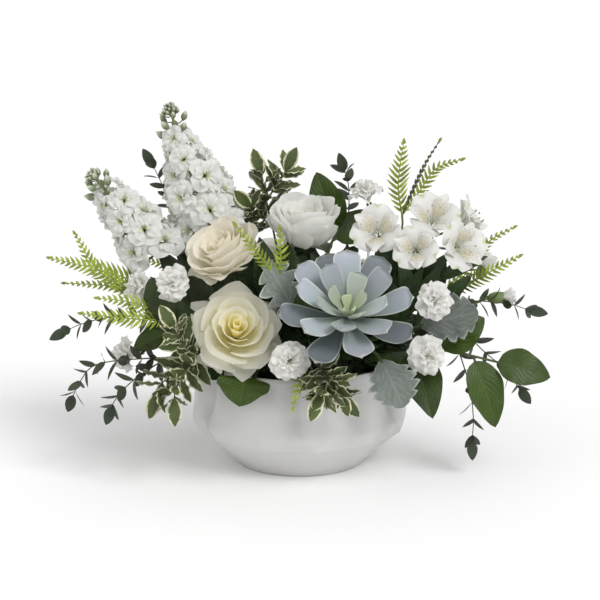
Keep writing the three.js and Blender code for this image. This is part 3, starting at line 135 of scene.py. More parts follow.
# Middle of the bloom, the way it faces, its turn and its scale.
ALSTROEMERIAS = [
    ((67, -52, 226), (-0.15, -0.86, 0.45), 0.0, 0.98),
    ((100, -72, 213), (-0.15, -0.88, 0.35), 0.2, 0.86),
    ((119, -32, 236), (0.05, -0.7, 0.7), 0.4, 1.0),
    ((144, -56, 212), (0.4, -0.85, 0.3), 0.6, 0.96),
    ((157, -10, 229), (0.85, -0.15, 0.5), 0.8, 0.95),
]
TEPALS = {
    "outer": dict(paint=0, half=16.5, reach=26, top=23, notch=0.09, notch_width=0.2, swell=1.9, taper=0.16),
    "inner": dict(paint=1, half=9.5, reach=22, top=27, notch=-0.03, notch_width=0.4, swell=1.4, taper=0.36),
}

SUCCULENT = dict(middle=(41, -93, 159), facing=(0.04, -0.64, 0.77), roll=0.23, depth=12, leaves=25)
# Its leaves from the youngest to the oldest. Their width is a share of their length.
SUCCULENT_LEAF = dict(length=(9, 61), width=(0.24, 0.21), rise=(80, 8), base=(12, 3), thick=(2.2, 4.6))

STOCKS = [
    dict(name="tall", seed=61, florets=25, reach=29, line=[(-76, 22, 201), (-96, 24, 252), (-120, 26, 326)]),
    dict(name="low", seed=62, florets=19, reach=21, line=[(-128, 5, 189), (-156, 6, 225), (-190, 7, 267)]),
]
# Florets from the lowest to the highest: place on the spike and size. The highest stand out less.
FLORETS = dict(place=(0.06, 0.77), size=(1.14, 0.78), top_reach=8)
STOCK_PETAL = dict(waves=1.9, round=0.2, roll=1.5, root=0.3, teeth=0.03, tooth_count=4)
STOCK_RINGS = [
    ring_of(4, (1, 0), (6, 6), (18.5, 4.5), 0.86, age=1.0, ruffle=2.3),
    ring_of(4, (1, 1), (3.5, 8), (13, 8.5), 0.74, age=0.8, ruffle=2.4),
    ring_of(2, (1, 2), (1.5, 7), (5, 9), 0.8, age=0.3, ruffle=0.8),
]
# Loose buds above the florets and close ones at the tip. The pairs are their first and last value.
STOCK_BUDS = [
    dict(count=8, place=(0.79, 0.93), stretch=(9.5, 6.5), length=(11.5, 8.5)),
    dict(count=26, place=(0.93, 1.0), stretch=(5.2, 1.4), length=(7.0, 4.2)),
]

# Each pair of leaves on a twig is turned by spin from the last, and second is the angle between the two.
TWIGS = {
    "eucalyptus": dict(
        slot="eucalyptus_leaf", leaf="eucalyptus", radius=0.75, spin=1.15, second=math.pi,
        form=dict(length=18.5, width=9.4, power=0.82, sharp=0.75, fold=0.14, arch=0.12),
    ),
    "pittosporum": dict(
        slot="variegated_leaf", leaf="edged", radius=0.95, spin=1.9, second=2.4,
        form=dict(length=25, width=12.8, power=0.98, sharp=0.7, fold=0.12, arch=0.14, wave=1.5, waves=3.2),
    ),
}
# Each twig has the points of its line and its pairs of leaves.
SPRAYS = [
    ("eucalyptus_top_left", [([(-104, 40, 192), (-119, 50, 226), (-131, 52, 253), (-138, 52, 268)], 6)]),
    ("eucalyptus_left", [([(-128, -10, 138), (-172, -18, 138), (-196, -24, 134), (-212, -28, 128)], 6)]),
    ("eucalyptus_low_left", [
        ([(-118, -62, 112), (-160, -80, 114), (-184, -72, 106), (-196, -70, 90), (-202, -68, 78)], 7),
        ([(-118, -62, 112), (-146, -82, 97), (-162, -84, 80), (-166, -84, 72)], 5),
    ]),
    ("eucalyptus_top", [([(46, 60, 208), (46, 60, 244), (42, 58, 262)], 4)]),
    ("eucalyptus_right", [
        ([(133, -22, 150), (158, -30, 156), (188, -34, 154), (206, -36, 149)], 5),
        ([(133, -22, 150), (160, -44, 118), (186, -48, 96), (198, -48, 78)], 5),
        ([(133, -22, 150), (142, -40, 116), (152, -52, 84), (156, -56, 54), (155, -58, 32)], 6),
    ]),
    ("eucalyptus_rear", [
        ([(-16, 92, 128), (-20, 126, 132), (-22, 150, 124), (-22, 166, 108)], 5),
        ([(-16, 92, 128), (-44, 122, 118), (-60, 134, 96)], 4),
    ]),
    ("pittosporum_top", [
        ([(-24, 28, 206), (-33, 26, 248), (-36, 24, 264)], 5),
        ([(-31, 26, 238), (-19, 24, 257), (-13, 22, 267)], 4),
        ([(-26, 28, 214), (-42, 22, 228), (-46, 18, 234)], 4),
    ]),
    ("pittosporum_left", [
        ([(-90, -80, 120), (-104, -92, 136), (-109, -96, 148)], 5),
        ([(-90, -80, 120), (-104, -98, 113), (-118, -106, 102), (-123, -108, 92)], 5),
        ([(-90, -80, 120), (-99, -101, 110), (-107, -113, 97), (-108, -115, 89)], 4),
    ]),
    ("pittosporum_front", [
        ([(16, -104, 116), (24, -118, 110), (32, -124, 100), (36, -124, 94)], 5),
        ([(24, -117, 110), (20, -126, 100), (17, -126, 94)], 4),
    ]),
]

LEAFLET = dict(power=0.6, sharp=0.75, fold=0.25, arch=0.18)
END_LEAFLET = dict(length=5, width=2.4, power=0.7, fold=0.2, arch=0.1)
LEAFLET_SPACING = 5.3
BROWN_LEAFLET = 6
# Each frond starts at the fork of its stem. It has the points of its line and the length of its leaflets,
# and has dried where they are no longer than a brown leaflet.
FERNS = [
    ("fern_left", (-128, -4, 160), [
        ([(-150, -14, 171), (-186, -24, 185), (-224, -28, 195)], 14),
        ([(-154, -20, 165), (-180, -44, 188), (-198, -50, 221)], 13),
        ([(-154, -4, 162), (-184, -8, 166), (-214, -10, 168)], 8),
    ]),
    ("fern_low_left", (-112, -42, 144), [
        ([(-134, -60, 146), (-160, -64, 149), (-192, -66, 153)], 12),
        ([(-134, -56, 156), (-155, -60, 163), (-178, -62, 166)], 11),
    ]),
    ("fern_centre", (-22, -66, 186), [
        ([(-30, -74, 200), (-42, -84, 218), (-55, -88, 236)], 9),
        ([(-17, -72, 200), (-17, -76, 214), (-18, -76, 230)], 10),
    ]),
    ("fern_right_top", (94, 18, 226), [
        ([(90, 14, 250), (91, 12, 272), (94, 12, 294)], 14),
        ([(104, 20, 250), (115, 20, 274), (127, 20, 294)], 5),
        ([(111, 26, 248), (125, 26, 268), (148, 22, 277)], 10),
    ]),
    ("fern_right", (132, -12, 164), [
        ([(146, -28, 170), (168, -46, 186), (193, -54, 202)], 12),
        ([(156, -2, 182), (172, -6, 206), (193, -12, 220)], 9),
    ]),
    ("fern_front", (8, -96, 106), [([(0, -112, 105), (-3, -122, 98), (-6, -125, 84)], 8)]),
    ("fern_rear", (-80, 58, 150), [
        ([(-98, 72, 170), (-114, 84, 194), (-126, 94, 218)], 12),
        ([(-106, 78, 158), (-132, 92, 164), (-158, 102, 168)], 12),
    ]),
]

# The form of every broad leaf, also of those between the stems.
BROAD = dict(power=0.76, sharp=0.72, fold=0.13, arch=0.28, wave=1.3, waves=2.4)
# Each leaf has its place on the stem from 0 to 1, its tip, its width and the way it faces.
SALAL = [
    ("salal_front", [(-40, -70, 102), (-48, -86, 101.5)], [(1, (-51, -124, 91), 46, (0, -1, 0.25))]),
    ("salal_left", [(-84, -40, 124), (-98, -48, 130), (-112, -56, 140)], [
        (0.3, (-134, -26, 122), 32, (-0.2, -0.1, 0.95)),
        (0.75, (-146, -74, 128), 32, (-0.2, -0.6, 0.8)),
        (1, (-134, -62, 180), 32, (-0.3, -0.9, 0.2)),
    ]),
    ("salal_right", [(90, -46, 114), (122, -58, 118), (150, -62, 114), (172, -64, 109)], [
        (0.12, (115, -112, 80), 36, (0.15, -0.95, 0.3)),
        (0.42, (162, -58, 148), 34, (0.1, -0.8, 0.55)),
        (0.78, (176, -84, 56), 34, (0.25, -0.9, 0.3)),
        (1, (222, -72, 99), 33, (0.1, -0.85, 0.5)),
    ]),
    ("salal_top", [(24, 22, 184), (30, 26, 200), (36, 28, 210)], [
        (0.2, (-2, 58, 204), 34, (0, 0.2, 0.95)),
        (0.6, (76, 40, 226), 32, (0.2, -0.8, 0.6)),
        (1, (14, 26, 262), 34, (-0.3, -0.9, 0.3)),
    ]),
    ("salal_rear", [(4, 78, 118), (-26, 90, 122), (-64, 88, 124), (-92, 74, 124)], [
        (0.15, (34, 124, 84), 38, (0.1, 0.9, 0.4)),
        (0.45, (-36, 134, 70), 42, (0, 1, 0.3)),
        (0.8, (-100, 118, 84), 40, (-0.3, 0.9, 0.4)),
        (1, (-142, 52, 128), 34, (-0.3, 0.3, 0.9)),
    ]),
    ("salal_rear_right", [(78, 44, 122), (92, 52, 126), (102, 58, 124)], [
        (0.4, (148, 32, 136), 36, (0.3, 0.1, 0.9)),
        (1, (140, 84, 94), 38, (0.6, 0.5, 0.6)),
    ]),
]

FELTED_LEAF = dict(power=1.05, sharp=0.62, fold=0.16, arch=0.1, wave=2.2, waves=3.4)
# Root, tip, width, the way it faces, how deep its lobes are and how much painted light lifts it: most for
# the centre leaf, which the roses shade, less for the low and right ones.
FELTED = [
    ("dusty_miller_centre", (3, -54, 140), (-28, -76, 200), 40, (0.2, -0.95, 0.2), 0.6, 1.0),
    ("dusty_miller_low", (70, -100, 120), (88, -124, 86), 42, (0.1, -0.9, 0.4), 0.3, 0.6),
    ("dusty_miller_right", (106, -66, 142), (155, -72, 156), 40, (0.2, -0.9, 0.4), 0.26, 0.35),
]

# The room round the middle of each bloom that the leaves between the blooms leave free.
ROOM = {"rose": 42, "succulent": 30, "carnation": 19, "alstroemeria": 22, "stock": 27}
# Leaves that hide the foam. Root, inner and outer are where they begin, measured from its centre.
GREENS = {
    "tries": 300, "lowest": 100, "root": 57, "inner": 59, "outer": (72, 84), "reach": (36, 50),
    "width": (16, 26),
}
FILLING_LEAF = dict(power=0.8, sharp=0.8, fold=0.2, arch=0.3, wave=1.0, waves=1.5)
# Single leaves between the blooms: root, tip and width.
FILLING_LEAVES = [
    ((-84, -40, 128), (-112, -58, 184), 26), ((-78, -36, 140), (-98, -50, 192), 24),
    ((-88, -44, 120), (-124, -66, 160), 26), ((-82, -54, 128), (-106, -80, 162), 22),
    ((-60, -30, 150), (-86, -34, 204), 22), ((-96, -30, 128), (-130, -36, 180), 24),
    ((-84, -4, 150), (-112, 8, 210), 24), ((-80, 2, 150), (-100, 2, 216), 22),
    ((-92, -8, 146), (-128, -8, 200), 22), ((-24, -34, 150), (-34, -40, 214), 26),
    ((-20, -44, 150), (-26, -52, 204), 24), ((-12, -30, 150), (-16, -34, 212), 24),
    ((6, -60, 140), (2, -84, 176), 24), ((12, -50, 150), (10, -62, 196), 24),
    ((30, -30, 150), (44, -44, 206), 24), ((124, -46, 180), (163, -54, 204), 13),
    ((104, -30, 176), (84, -44, 214), 15), ((110, -34, 170), (128, -56, 206), 14),
    ((96, -40, 160), (92, -58, 200), 16), ((100, -44, 150), (124, -58, 192), 16),
    ((88, -46, 148), (104, -64, 190), 17), ((92, -52, 140), (80, -56, 188), 17),
    ((104, -52, 136), (134, -62, 170), 15), ((86, -30, 180), (70, -40, 216), 13),
    ((80, -40, 130), (96, -68, 170), 17), ((120, -40, 150), (146, -60, 182), 14),
    ((94, -20, 190), (112, -30, 216), 13), ((82, -28, 140), (88, -34, 207), 24),
    ((96, -26, 140), (110, -32, 200), 20), ((108, -30, 140), (132, -38, 196), 20),
    ((76, -20, 150), (72, -30, 206), 20), ((104, -48, 128), (120, -60, 164), 18),
    ((116, -36, 140), (150, -44, 184), 16), ((-34, -16, 150), (-54, -16, 212), 26),
]

STUDIO_LIGHT = 0.64
SUNS = [("Key", (-0.55, 0.6, -0.8), 1.7, 30), ("Fill", (0.7, 0.6, -0.45), 0.4, 70)]
CAMERA = {"lens": 97.8, "place": (0, -1.4616, 0.4875), "aim": (0, 0, 0.15)}
FLOOR_HALF = 30.0

# ---------------------------------------------------------------- colours
# Petals: colours deep inside the bloom, over most of it, at the lip and at the root, and the share of light
# that comes through. The root colour is the petal root's own yellow-green tone with painted shade in it.
PETAL_LOOKS = {
    "ivory": ((1.0, 0.92, 0.46), (0.98, 0.965, 0.84), (0.97, 0.96, 0.89), (0.99, 0.95, 0.66), 0.65),
    "cream": ((0.95, 0.87, 0.68), (0.93, 0.905, 0.8), (0.93, 0.88, 0.77), (0.92, 0.88, 0.66), 0.4),
    "snow": ((0.93, 0.91, 0.8), (0.93, 0.925, 0.89), (0.94, 0.94, 0.91), (0.86, 0.88, 0.72), 0.4),
    "white": ((0.92, 0.91, 0.83), (0.93, 0.92, 0.89), (0.95, 0.945, 0.92), (0.84, 0.86, 0.72), 0.4),
    "stock": ((0.56, 0.66, 0.24), (0.86, 0.865, 0.83), (0.9, 0.9, 0.885), (0.5, 0.58, 0.28), 0.4),
}
# Leaves: dark and light colour, colour of the veins, number of side veins, how far they lean, roughness and
# colour of the edge.
LEAF_LOOKS = {
    "salal": ((0.013, 0.03, 0.002), (0.042, 0.075, 0.007), (0.09, 0.125, 0.028), 8.0, 0.5, 0.42, None),
    "deep": ((0.014, 0.03, 0.008), (0.04, 0.07, 0.02), (0.08, 0.11, 0.045), 8.0, 0.35, 0.4, None),
    "fern": ((0.2, 0.29, 0.03), (0.42, 0.5, 0.08), (0.5, 0.58, 0.14), 7.0, 0.5, 0.5, None),
    "eucalyptus": ((0.024, 0.036, 0.02), (0.062, 0.08, 0.046), (0.11, 0.13, 0.085), 7.0, 0.4, 0.5, None),
    "edged": (
        (0.036, 0.056, 0.014), (0.11, 0.145, 0.045), (0.2, 0.24, 0.1), 7.0, 0.35, 0.45, (0.68, 0.67, 0.47)
    ),
}


# ---------------------------------------------------------------- numbers
def vec(x, y, z):
    return np.array([x, y, z], float)


def unit(v):
    return np.asarray(v, float) / np.linalg.norm(v)


def lerp(a, b, t):
    return a + (b - a) * t


def smooth(low, high, t):
    t = np.clip((t - low) / (high - low), 0, 1)
    return t * t * (3 - 2 * t)


def bezier(a, b, c, t):
    return lerp(lerp(a, b, t), lerp(b, c, t), t)


def stack(x, y, z):
    return np.stack(np.broadcast_arrays(x, y, z), -1).astype(float)


def polar(radius, angle, z):
    return stack(radius * np.cos(angle), radius * np.sin(angle), z)


def turned(x, y, z, turn):
    """A point turned about the z axis."""
    return stack(x * math.cos(turn) - y * math.sin(turn), x * math.sin(turn) + y * math.cos(turn), z)


def evenly(count, first=0.0):
    return [first + TAU * i / count for i in range(count)]


def blade_axes(origin, along, face):
    """Axes with x across a blade, y along it and z out of the side that looks towards face."""
    y = unit(along)
    x = unit(np.cross(y, face))
    return np.array([x, y, np.cross(x, y)]), np.asarray(origin, float)


def bloom_axes(origin, facing, roll=0.0, scale=1.0):
    """Axes with z the way a bloom faces."""
    z = unit(facing)
    x = unit(np.cross(vec(0, 1, 0) if abs(z[2]) > 0.95 else UP, z))
    y = np.cross(z, x)
    axes = np.array([x * math.cos(roll) + y * math.sin(roll), y * math.cos(roll) - x * math.sin(roll), z])
    return axes * scale, np.asarray(origin, float)


def behind(middle, facing, depth):
    return vec(*middle) - unit(facing) * depth


def seated_axes(middle, facing, depth, roll=0.0, scale=1.0):
    """The axes at the foot of a bloom whose middle and depth are given."""
    return bloom_axes(behind(middle, facing, depth * scale), facing, roll, scale)


def apply(axes, points):
    turn, origin = axes
    return points @ turn + origin


class Path:
    """A smooth curve through points, measured from 0 to 1 by the distance along it."""

    SAMPLES = 16

    def __init__(self, points):
        points = [np.asarray(p, float) for p in points]
        ends = [2 * points[0] - points[1], *points, 2 * points[-1] - points[-2]]
        rows = []
        for a, b, c, d in zip(ends, ends[1:], ends[2:], ends[3:]):
            for t in np.arange(self.SAMPLES) / self.SAMPLES:
                slope = (c - a) * t + (2 * a - 5 * b + 4 * c - d) * t**2 + (3 * b - a - 3 * c + d) * t**3
                rows.append(b + slope / 2)
        rows.append(points[-1])
        self.measure(np.array(rows))

    def measure(self, points):
        self.points = points
        steps = np.linalg.norm(np.diff(points, axis=0), axis=1)
        self.length = steps.sum()
        self.places = np.concatenate([[0], np.cumsum(steps)]) / self.length
        self.tangents = np.gradient(points, self.places, axis=0)
        self.tangents /= np.linalg.norm(self.tangents, axis=1)[:, None]
        side = unit(np.cross(self.tangents[0], vec(0.2, 1, 0.1)))
        sides = []
        for tangent in self.tangents:
            side = unit(side - tangent * (side @ tangent))
            sides.append(side)
        self.sides = np.array(sides)

    @classmethod
    def of(cls, points):
        """A path straight from point to point."""
        path = cls.__new__(cls)
        path.measure(np.array(points))
        return path

    def pick(self, rows, s):
        return np.array([np.interp(s, self.places, rows[:, k]) for k in range(3)])

    def at(self, s):
        return self.pick(self.points, s)

    def frame(self, s):
        """The point at s, the way along the path and two ways square to it."""
        along = unit(self.pick(self.tangents, s))
        side = self.pick(self.sides, s)
        side = unit(side - along * (side @ along))
        return self.at(s), along, side, np.cross(along, side)


# ---------------------------------------------------------------- meshes
def add_object(name, data):
    made = bpy.data.objects.new(name, data)
    bpy.context.scene.collection.objects.link(made)
    return made


class Shape:
    """Grids of points that become one piece. Each point knows its place on its petal or leaf."""

    def __init__(self, name, slot, materials, nodes=()):
        self.name, self.slot, self.materials, self.nodes = name, slot, materials, nodes
        self.points, self.faces, self.marks, self.tints, self.paints = [], [], [], [], []
        self.size = 0

    def grid(self, points, age=0.0, tint=0.5, paint=0, closed=False):
        """Rows run along the blade and columns across it. A closed grid is a tube."""
        rows, cols = points.shape[:2]
        index = self.size + np.arange(rows * cols).reshape(rows, cols)
        if closed:
            index = np.column_stack([index, index[:, :1]])
        corners = index[:-1, :-1], index[:-1, 1:], index[1:, 1:], index[1:, :-1]
        faces = np.stack(corners, -1).reshape(-1, 4)
        along, across = np.meshgrid(np.linspace(0, 1, rows), np.linspace(-1, 1, cols), indexing="ij")
        self.points.append(points.reshape(-1, 3))
        self.faces.append(faces)
        self.marks.append(stack(along, across, age).reshape(-1, 3))
        self.tints.append(np.full(rows * cols, tint))
        self.paints.append(np.full(len(faces), paint))
        self.size += rows * cols

    def blade(self, axes, surface, rows, cols, **marks):
        u, v = np.linspace(0, 1, rows + 1)[:, None], np.linspace(-1, 1, cols + 1)[None, :]
        self.grid(apply(axes, surface(u, v)), **marks)

    def tube(self, path, radius, steps, sides=8, start=0.0, **marks):
        """A round tube along a path. Its radius is a number, or a function of the place along it."""
        angles = np.array(evenly(sides))
        rows = []
        for share in np.linspace(0, 1, steps + 1):
            centre, _, side, other = path.frame(lerp(start, 1, share))
            size = radius(share) if callable(radius) else radius
            rows.append(centre + size * (np.outer(np.cos(angles), side) + np.outer(np.sin(angles), other)))
        self.grid(np.array(rows), closed=True, **marks)

    def stem(self, path, radius, steps=20, sides=6, **marks):
        """The tube from the hole in the foam to the start of a path."""
        self.tube(stem_path(self.nodes[0], path.points[0], path.tangents[0]), radius, steps, sides, **marks)

    def lathe(self, axes, profile, sides, **marks):
        rows = [polar(r, np.array(evenly(sides)), z) for r, z in profile]
        self.grid(apply(axes, np.array(rows)), closed=True, **marks)

    def finish(self):
        mesh = bpy.data.meshes.new(self.name)
        faces = np.concatenate(self.faces)
        mesh.from_pydata((np.concatenate(self.points) * MM).tolist(), [], faces.tolist())
        spots = mesh.attributes.new("spot", "FLOAT_VECTOR", "POINT")
        spots.data.foreach_set("vector", np.concatenate(self.marks).ravel())
        tints = mesh.attributes.new("tint", "FLOAT", "POINT")
        tints.data.foreach_set("value", np.concatenate(self.tints))
        mesh.polygons.foreach_set("material_index", np.concatenate(self.paints))
        mesh.polygons.foreach_set("use_smooth", np.ones(len(faces), bool))
        for material in self.materials:
            mesh.materials.append(material)
        mesh.update()
        piece = add_object(self.name, mesh)
        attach(piece, BODY)
        if self.nodes:
            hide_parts(*self.nodes)


def stem_path(node, end, heading):
    """The way of a node's stem from its hole in the foam to its end."""
    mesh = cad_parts[node].data
    points = np.empty(len(mesh.vertices) * 3)
    mesh.vertices.foreach_get("co", points)
    points = points.reshape(-1, 3) / MM
    far = np.linalg.norm(points - FOAM["centre"], axis=1)
    entry = unit(points[np.argsort(far)[:4]].mean(0) - FOAM["centre"])
    inner, outer = (FOAM["centre"] + entry * FOAM[k] for k in ("inner", "outer"))
    end = np.asarray(end, float)
    reach = 0.38 * np.linalg.norm(outer - end)
    a, b, c, d = outer, outer + entry * reach, end - unit(heading) * reach, end
    rows = [inner]
    for t in np.linspace(0, 1, STEM_STEPS):
        rows.append(a * (1 - t) ** 3 + 3 * b * t * (1 - t) ** 2 + 3 * c * t**2 * (1 - t) + d * t**3)
    return Path.of(rows)


# ---------------------------------------------------------------- materials
class Finish:
    """A material of nodes. What changes over the surface is built from the marks on its mesh."""

    def __init__(self, name, roughness, **sockets):
        self.material = bpy.data.materials.new(name)
        self.material.use_nodes = True
        self.tree = self.material.node_tree
        self.shader = self.tree.nodes["Principled BSDF"]
        self.shader.inputs["Roughness"].default_value = roughness
        for socket, value in sockets.items():
            self.shader.inputs[socket.replace("_", " ")].default_value = value
        spot = self.node("ShaderNodeAttribute", attribute_name="spot")
        parts = self.node("ShaderNodeSeparateXYZ")
        self.put(spot.outputs["Vector"], parts.inputs[0])
        self.along, self.signed, self.age = parts.outputs
        self.across = self.math("ABSOLUTE", self.signed)
        self.tint = self.node("ShaderNodeAttribute", attribute_name="tint").outputs["Fac"]
        self.place = self.node("ShaderNodeTexCoord").outputs["Object"]

    def node(self, kind, **settings):
        made = self.tree.nodes.new(kind)
        for key, value in settings.items():
            setattr(made, key, value)
        return made

    def put(self, value, socket):
        if isinstance(value, bpy.types.NodeSocket):
            self.tree.links.new(value, socket)
        elif isinstance(value, tuple):
            socket.default_value = (*value, 1.0)[: len(socket.default_value)]
        else:
            socket.default_value = value

    def math(self, operation, *values):
        made = self.node("ShaderNodeMath", operation=operation)
        for value, socket in zip(values, made.inputs):
            self.put(value, socket)
        return made.outputs[0]

    def plus(self, a, b):
        return self.math("ADD", a, b)

    def minus(self, a, b):
        return self.math("SUBTRACT", a, b)

    def times(self, a, b):
        return self.math("MULTIPLY", a, b)

    def ramp(self, factor, *stops):
        """Colours, or greys given as numbers, at places from 0 to 1."""
        made = self.node("ShaderNodeValToRGB")
        elements = made.color_ramp.elements
        while len(elements) < len(stops):
            elements.new(1.0)
        for element, (position, colour) in zip(elements, stops):
            element.position = position
            element.color = (*(colour if isinstance(colour, tuple) else (colour,) * 3), 1.0)
        self.put(factor, made.inputs[0])
        return made.outputs[0]

    def rise(self, factor, low, high, top=1.0):
        """0 below low, then up to the top at high."""
        return self.ramp(factor, (low, 0.0), (high, top))

    def fall(self, factor, end, top=1.0):
        """The top at 0, then down to 0 at the end."""
        return self.ramp(factor, (0.0, top), (end, 0.0))

    def mix(self, factor, a, b):
        made = self.node("ShaderNodeMix", data_type="RGBA")
        for value, index in ((factor, 0), (a, 6), (b, 7)):
            self.put(value, made.inputs[index])
        return made.outputs[2]

    def shade(self, colour, low, high, factor):
        """The colour made darker or lighter, from low to high as the factor goes from 0 to 1."""
        made = self.node("ShaderNodeHueSaturation")
        self.put(self.plus(self.times(factor, high - low), low), made.inputs["Value"])
        self.put(colour, made.inputs["Color"])
        return made.outputs[0]

    def noise(self, scale, detail=3.0, vector=None):
        made = self.node("ShaderNodeTexNoise")
        made.inputs["Scale"].default_value = scale
        made.inputs["Detail"].default_value = detail
        self.put(vector or self.place, made.inputs["Vector"])
        return made.outputs["Fac"]

    def blade_noise(self, along, across, detail=3.0):
        """Noise in streaks along a petal or leaf: its scales along and across it."""
        joined = self.node("ShaderNodeCombineXYZ")
        scaled = ((self.along, along), (self.signed, across), (self.tint, 40.0))
        for (source, scale), socket in zip(scaled, joined.inputs):
            self.put(self.times(source, scale), socket)
        return self.noise(1.0, detail, joined.outputs[0])

    def veins(self, count, lean, width=0.16, midrib=0.07):
        """1 on the midrib and the side veins, which lean towards the tip, and 0 between them."""
        waver = self.times(self.noise(90.0, 2.0), 0.16)
        phase = self.minus(self.plus(self.along, waver), self.times(self.across, lean))
        off = self.math("ABSOLUTE", self.minus(self.math("FRACT", self.times(phase, count)), 0.5))
        return self.math("MAXIMUM", self.fall(off, width, 0.8), self.fall(self.across, midrib))

    def bump(self, height, distance, strength):
        made = self.node("ShaderNodeBump")
        made.inputs["Distance"].default_value = distance * MM
        made.inputs["Strength"].default_value = strength
        self.put(height, made.inputs["Height"])
        self.put(made.outputs[0], self.shader.inputs["Normal"])

    def colour(self, socket):
        self.put(socket, self.shader.inputs["Base Color"])
        return self.material

    def thin(self, socket, share):
        """The colour of a sheet so thin that a share of the light comes through it."""
        through = self.node("ShaderNodeBsdfTranslucent")
        self.put(socket, through.inputs["Color"])
        mixed = self.node("ShaderNodeMixShader")
        for value, index in ((share, 0), (self.shader.outputs[0], 1), (through.outputs[0], 2)):
            self.put(value, mixed.inputs[index])
        self.put(mixed.outputs[0], self.tree.nodes["Material Output"].inputs["Surface"])
        return self.colour(socket)


def ceramic_finish():
    m = Finish("Ceramic_white", 0.42, Specular_IOR_Level=0.5, Coat_Weight=0.12, Coat_Roughness=0.3)
    cloud = m.noise(28.0, 2.0)
    m.bump(m.plus(m.noise(60.0), m.times(m.noise(900.0, 2.0), 0.06)), 0.5, 0.35)
    return m.colour(m.ramp(cloud, (0.3, (0.565, 0.56, 0.55)), (0.7, (0.6, 0.596, 0.588))))


def foam_finish():
    m = Finish("Foam_green", 0.95)
    grain = m.noise(900.0, 4.0)
    m.bump(grain, 0.8, 0.8)
    return m.colour(m.ramp(grain, (0.3, (0.012, 0.03, 0.012)), (0.7, (0.035, 0.075, 0.03))))


def petal_finish(name, heart, body, edge, root, through):
    m = Finish("Petal_" + name, 0.55, Specular_IOR_Level=0.35)
    depth = m.plus(m.times(m.age, 0.75), m.times(m.along, 0.45))
    base = m.mix(m.rise(depth, 0.28, 0.8), heart, body)
    # Painted shade towards the root of each petal, in the root's own yellow-green tone.
    base = m.mix(m.fall(m.along, 0.45), base, root)
    base = m.mix(m.rise(m.along, 0.82, 1.0), base, edge)
    streaks = m.blade_noise(3.0, 22.0)
    m.bump(m.plus(streaks, m.times(m.noise(260.0), 0.6)), 0.3, 0.5)
    return m.thin(m.shade(base, 0.94, 1.02, streaks), through)


def tepal_finish(name):
    """White and green at the root. Outer tepals have a green tip, inner ones a yellow heart with dashes."""
    m = Finish("Tepal_" + name, 0.5, Sheen_Weight=0.12)
    white, green = (0.8, 0.795, 0.76), (0.42, 0.52, 0.2)
    base = m.mix(m.fall(m.along, 0.3), white, green)
    streaks = m.blade_noise(3.0, 18.0)
    if name == "inner":
        heart = m.ramp(m.along, (0.2, 0.0), (0.4, 0.8), (0.58, 0.5), (0.76, 0.0))
        zone = m.ramp(m.along, (0.22, 0.0), (0.34, 1.0), (0.78, 1.0), (0.88, 0.0))
        dashes = m.times(m.rise(m.blade_noise(44.0, 18.0, 0.0), 0.63, 0.69), zone)
        base = m.mix(dashes, m.mix(heart, base, (0.8, 0.74, 0.5)), (0.3, 0.2, 0.09))
    else:
        base = m.mix(m.times(m.rise(m.along, 0.86, 1.0), m.fall(m.across, 0.3)), base, green)
    m.bump(streaks, 0.3, 0.5)
    return m.thin(m.shade(base, 0.94, 1.03, streaks), 0.25)


def succulent_finish():
    """Blue and lilac leaves with a pale rim, greener where they are young, with painted shade darkening the
    oldest, lowest leaves.
    """
    m = Finish("Succulent_leaf", 0.62, Specular_IOR_Level=0.35, Sheen_Weight=0.35, Sheen_Roughness=0.4)
    blue, lilac, green = (0.33, 0.395, 0.41), (0.37, 0.385, 0.435), (0.27, 0.34, 0.29)
    young, painted_shade, pale = (0.52, 0.58, 0.34), (0.07, 0.088, 0.095), (0.7, 0.7, 0.6)
    cloud = m.noise(45.0)
    body = m.mix(m.rise(cloud, 0.35, 0.65), blue, lilac)
    body = m.mix(m.rise(m.along, 0.25, 0.75), green, body)
    body = m.mix(m.fall(m.age, 0.42), body, young)
    # Painted shade: the oldest leaves, outermost and lowest in the rosette, turn almost black.
    body = m.mix(m.times(m.rise(m.age, 0.64, 1.0), 0.85), body, painted_shade)
    rim = m.math("MAXIMUM", m.rise(m.across, 0.86, 0.98), m.rise(m.along, 0.95, 1.0))
    body = m.mix(m.times(rim, 0.6), body, pale)
    m.bump(m.plus(m.noise(300.0, 4.0), cloud), 0.35, 0.35)
    return m.colour(m.shade(body, 0.78, 1.18, m.tint))


def leaf_finish(name, dark, light, vein, count, lean, roughness, edge):
    """A leaf with a midrib and side veins, and a pale edge if one is given."""
    m = Finish("Leaf_" + name, roughness, Specular_IOR_Level=0.32)
    veins = m.veins(count, lean)
    body = m.mix(m.noise(110.0, 4.0), dark, light)
    body = m.mix(m.times(veins, 0.4), body, vein)
    if edge:
        wavy = m.plus(m.across, m.times(m.minus(m.noise(240.0, 2.0), 0.5), 0.5))
        body = m.mix(m.rise(wavy, 0.66, 0.82), body, edge)
    m.bump(m.minus(m.times(m.noise(420.0), 0.35), veins), 0.5, 0.6)
    return m.colour(m.shade(body, 0.65, 1.3, m.tint))


def felt_finish():
    m = Finish("Felted_leaf", 0.9, Specular_IOR_Level=0.2, Sheen_Weight=0.6, Sheen_Roughness=0.5)
    veins = m.veins(6.0, 0.5, 0.2, 0.08)
    felt = m.noise(1400.0, 4.0)
    body = m.mix(m.noise(60.0), (0.07, 0.085, 0.07), (0.15, 0.165, 0.15))
    body = m.mix(m.times(veins, 0.28), body, (0.27, 0.3, 0.27))
    body = m.mix(m.rise(m.across, 0.84, 1.0, 0.7), body, (0.33, 0.35, 0.32))
    m.bump(m.plus(m.times(felt, 0.5), veins), 0.6, 0.7)
    # The tint is painted light: it lifts each leaf by its own amount, most where the blooms shade it.
    return m.colour(m.shade(m.shade(body, 0.85, 1.1, felt), 0.7, 1.9, m.tint))


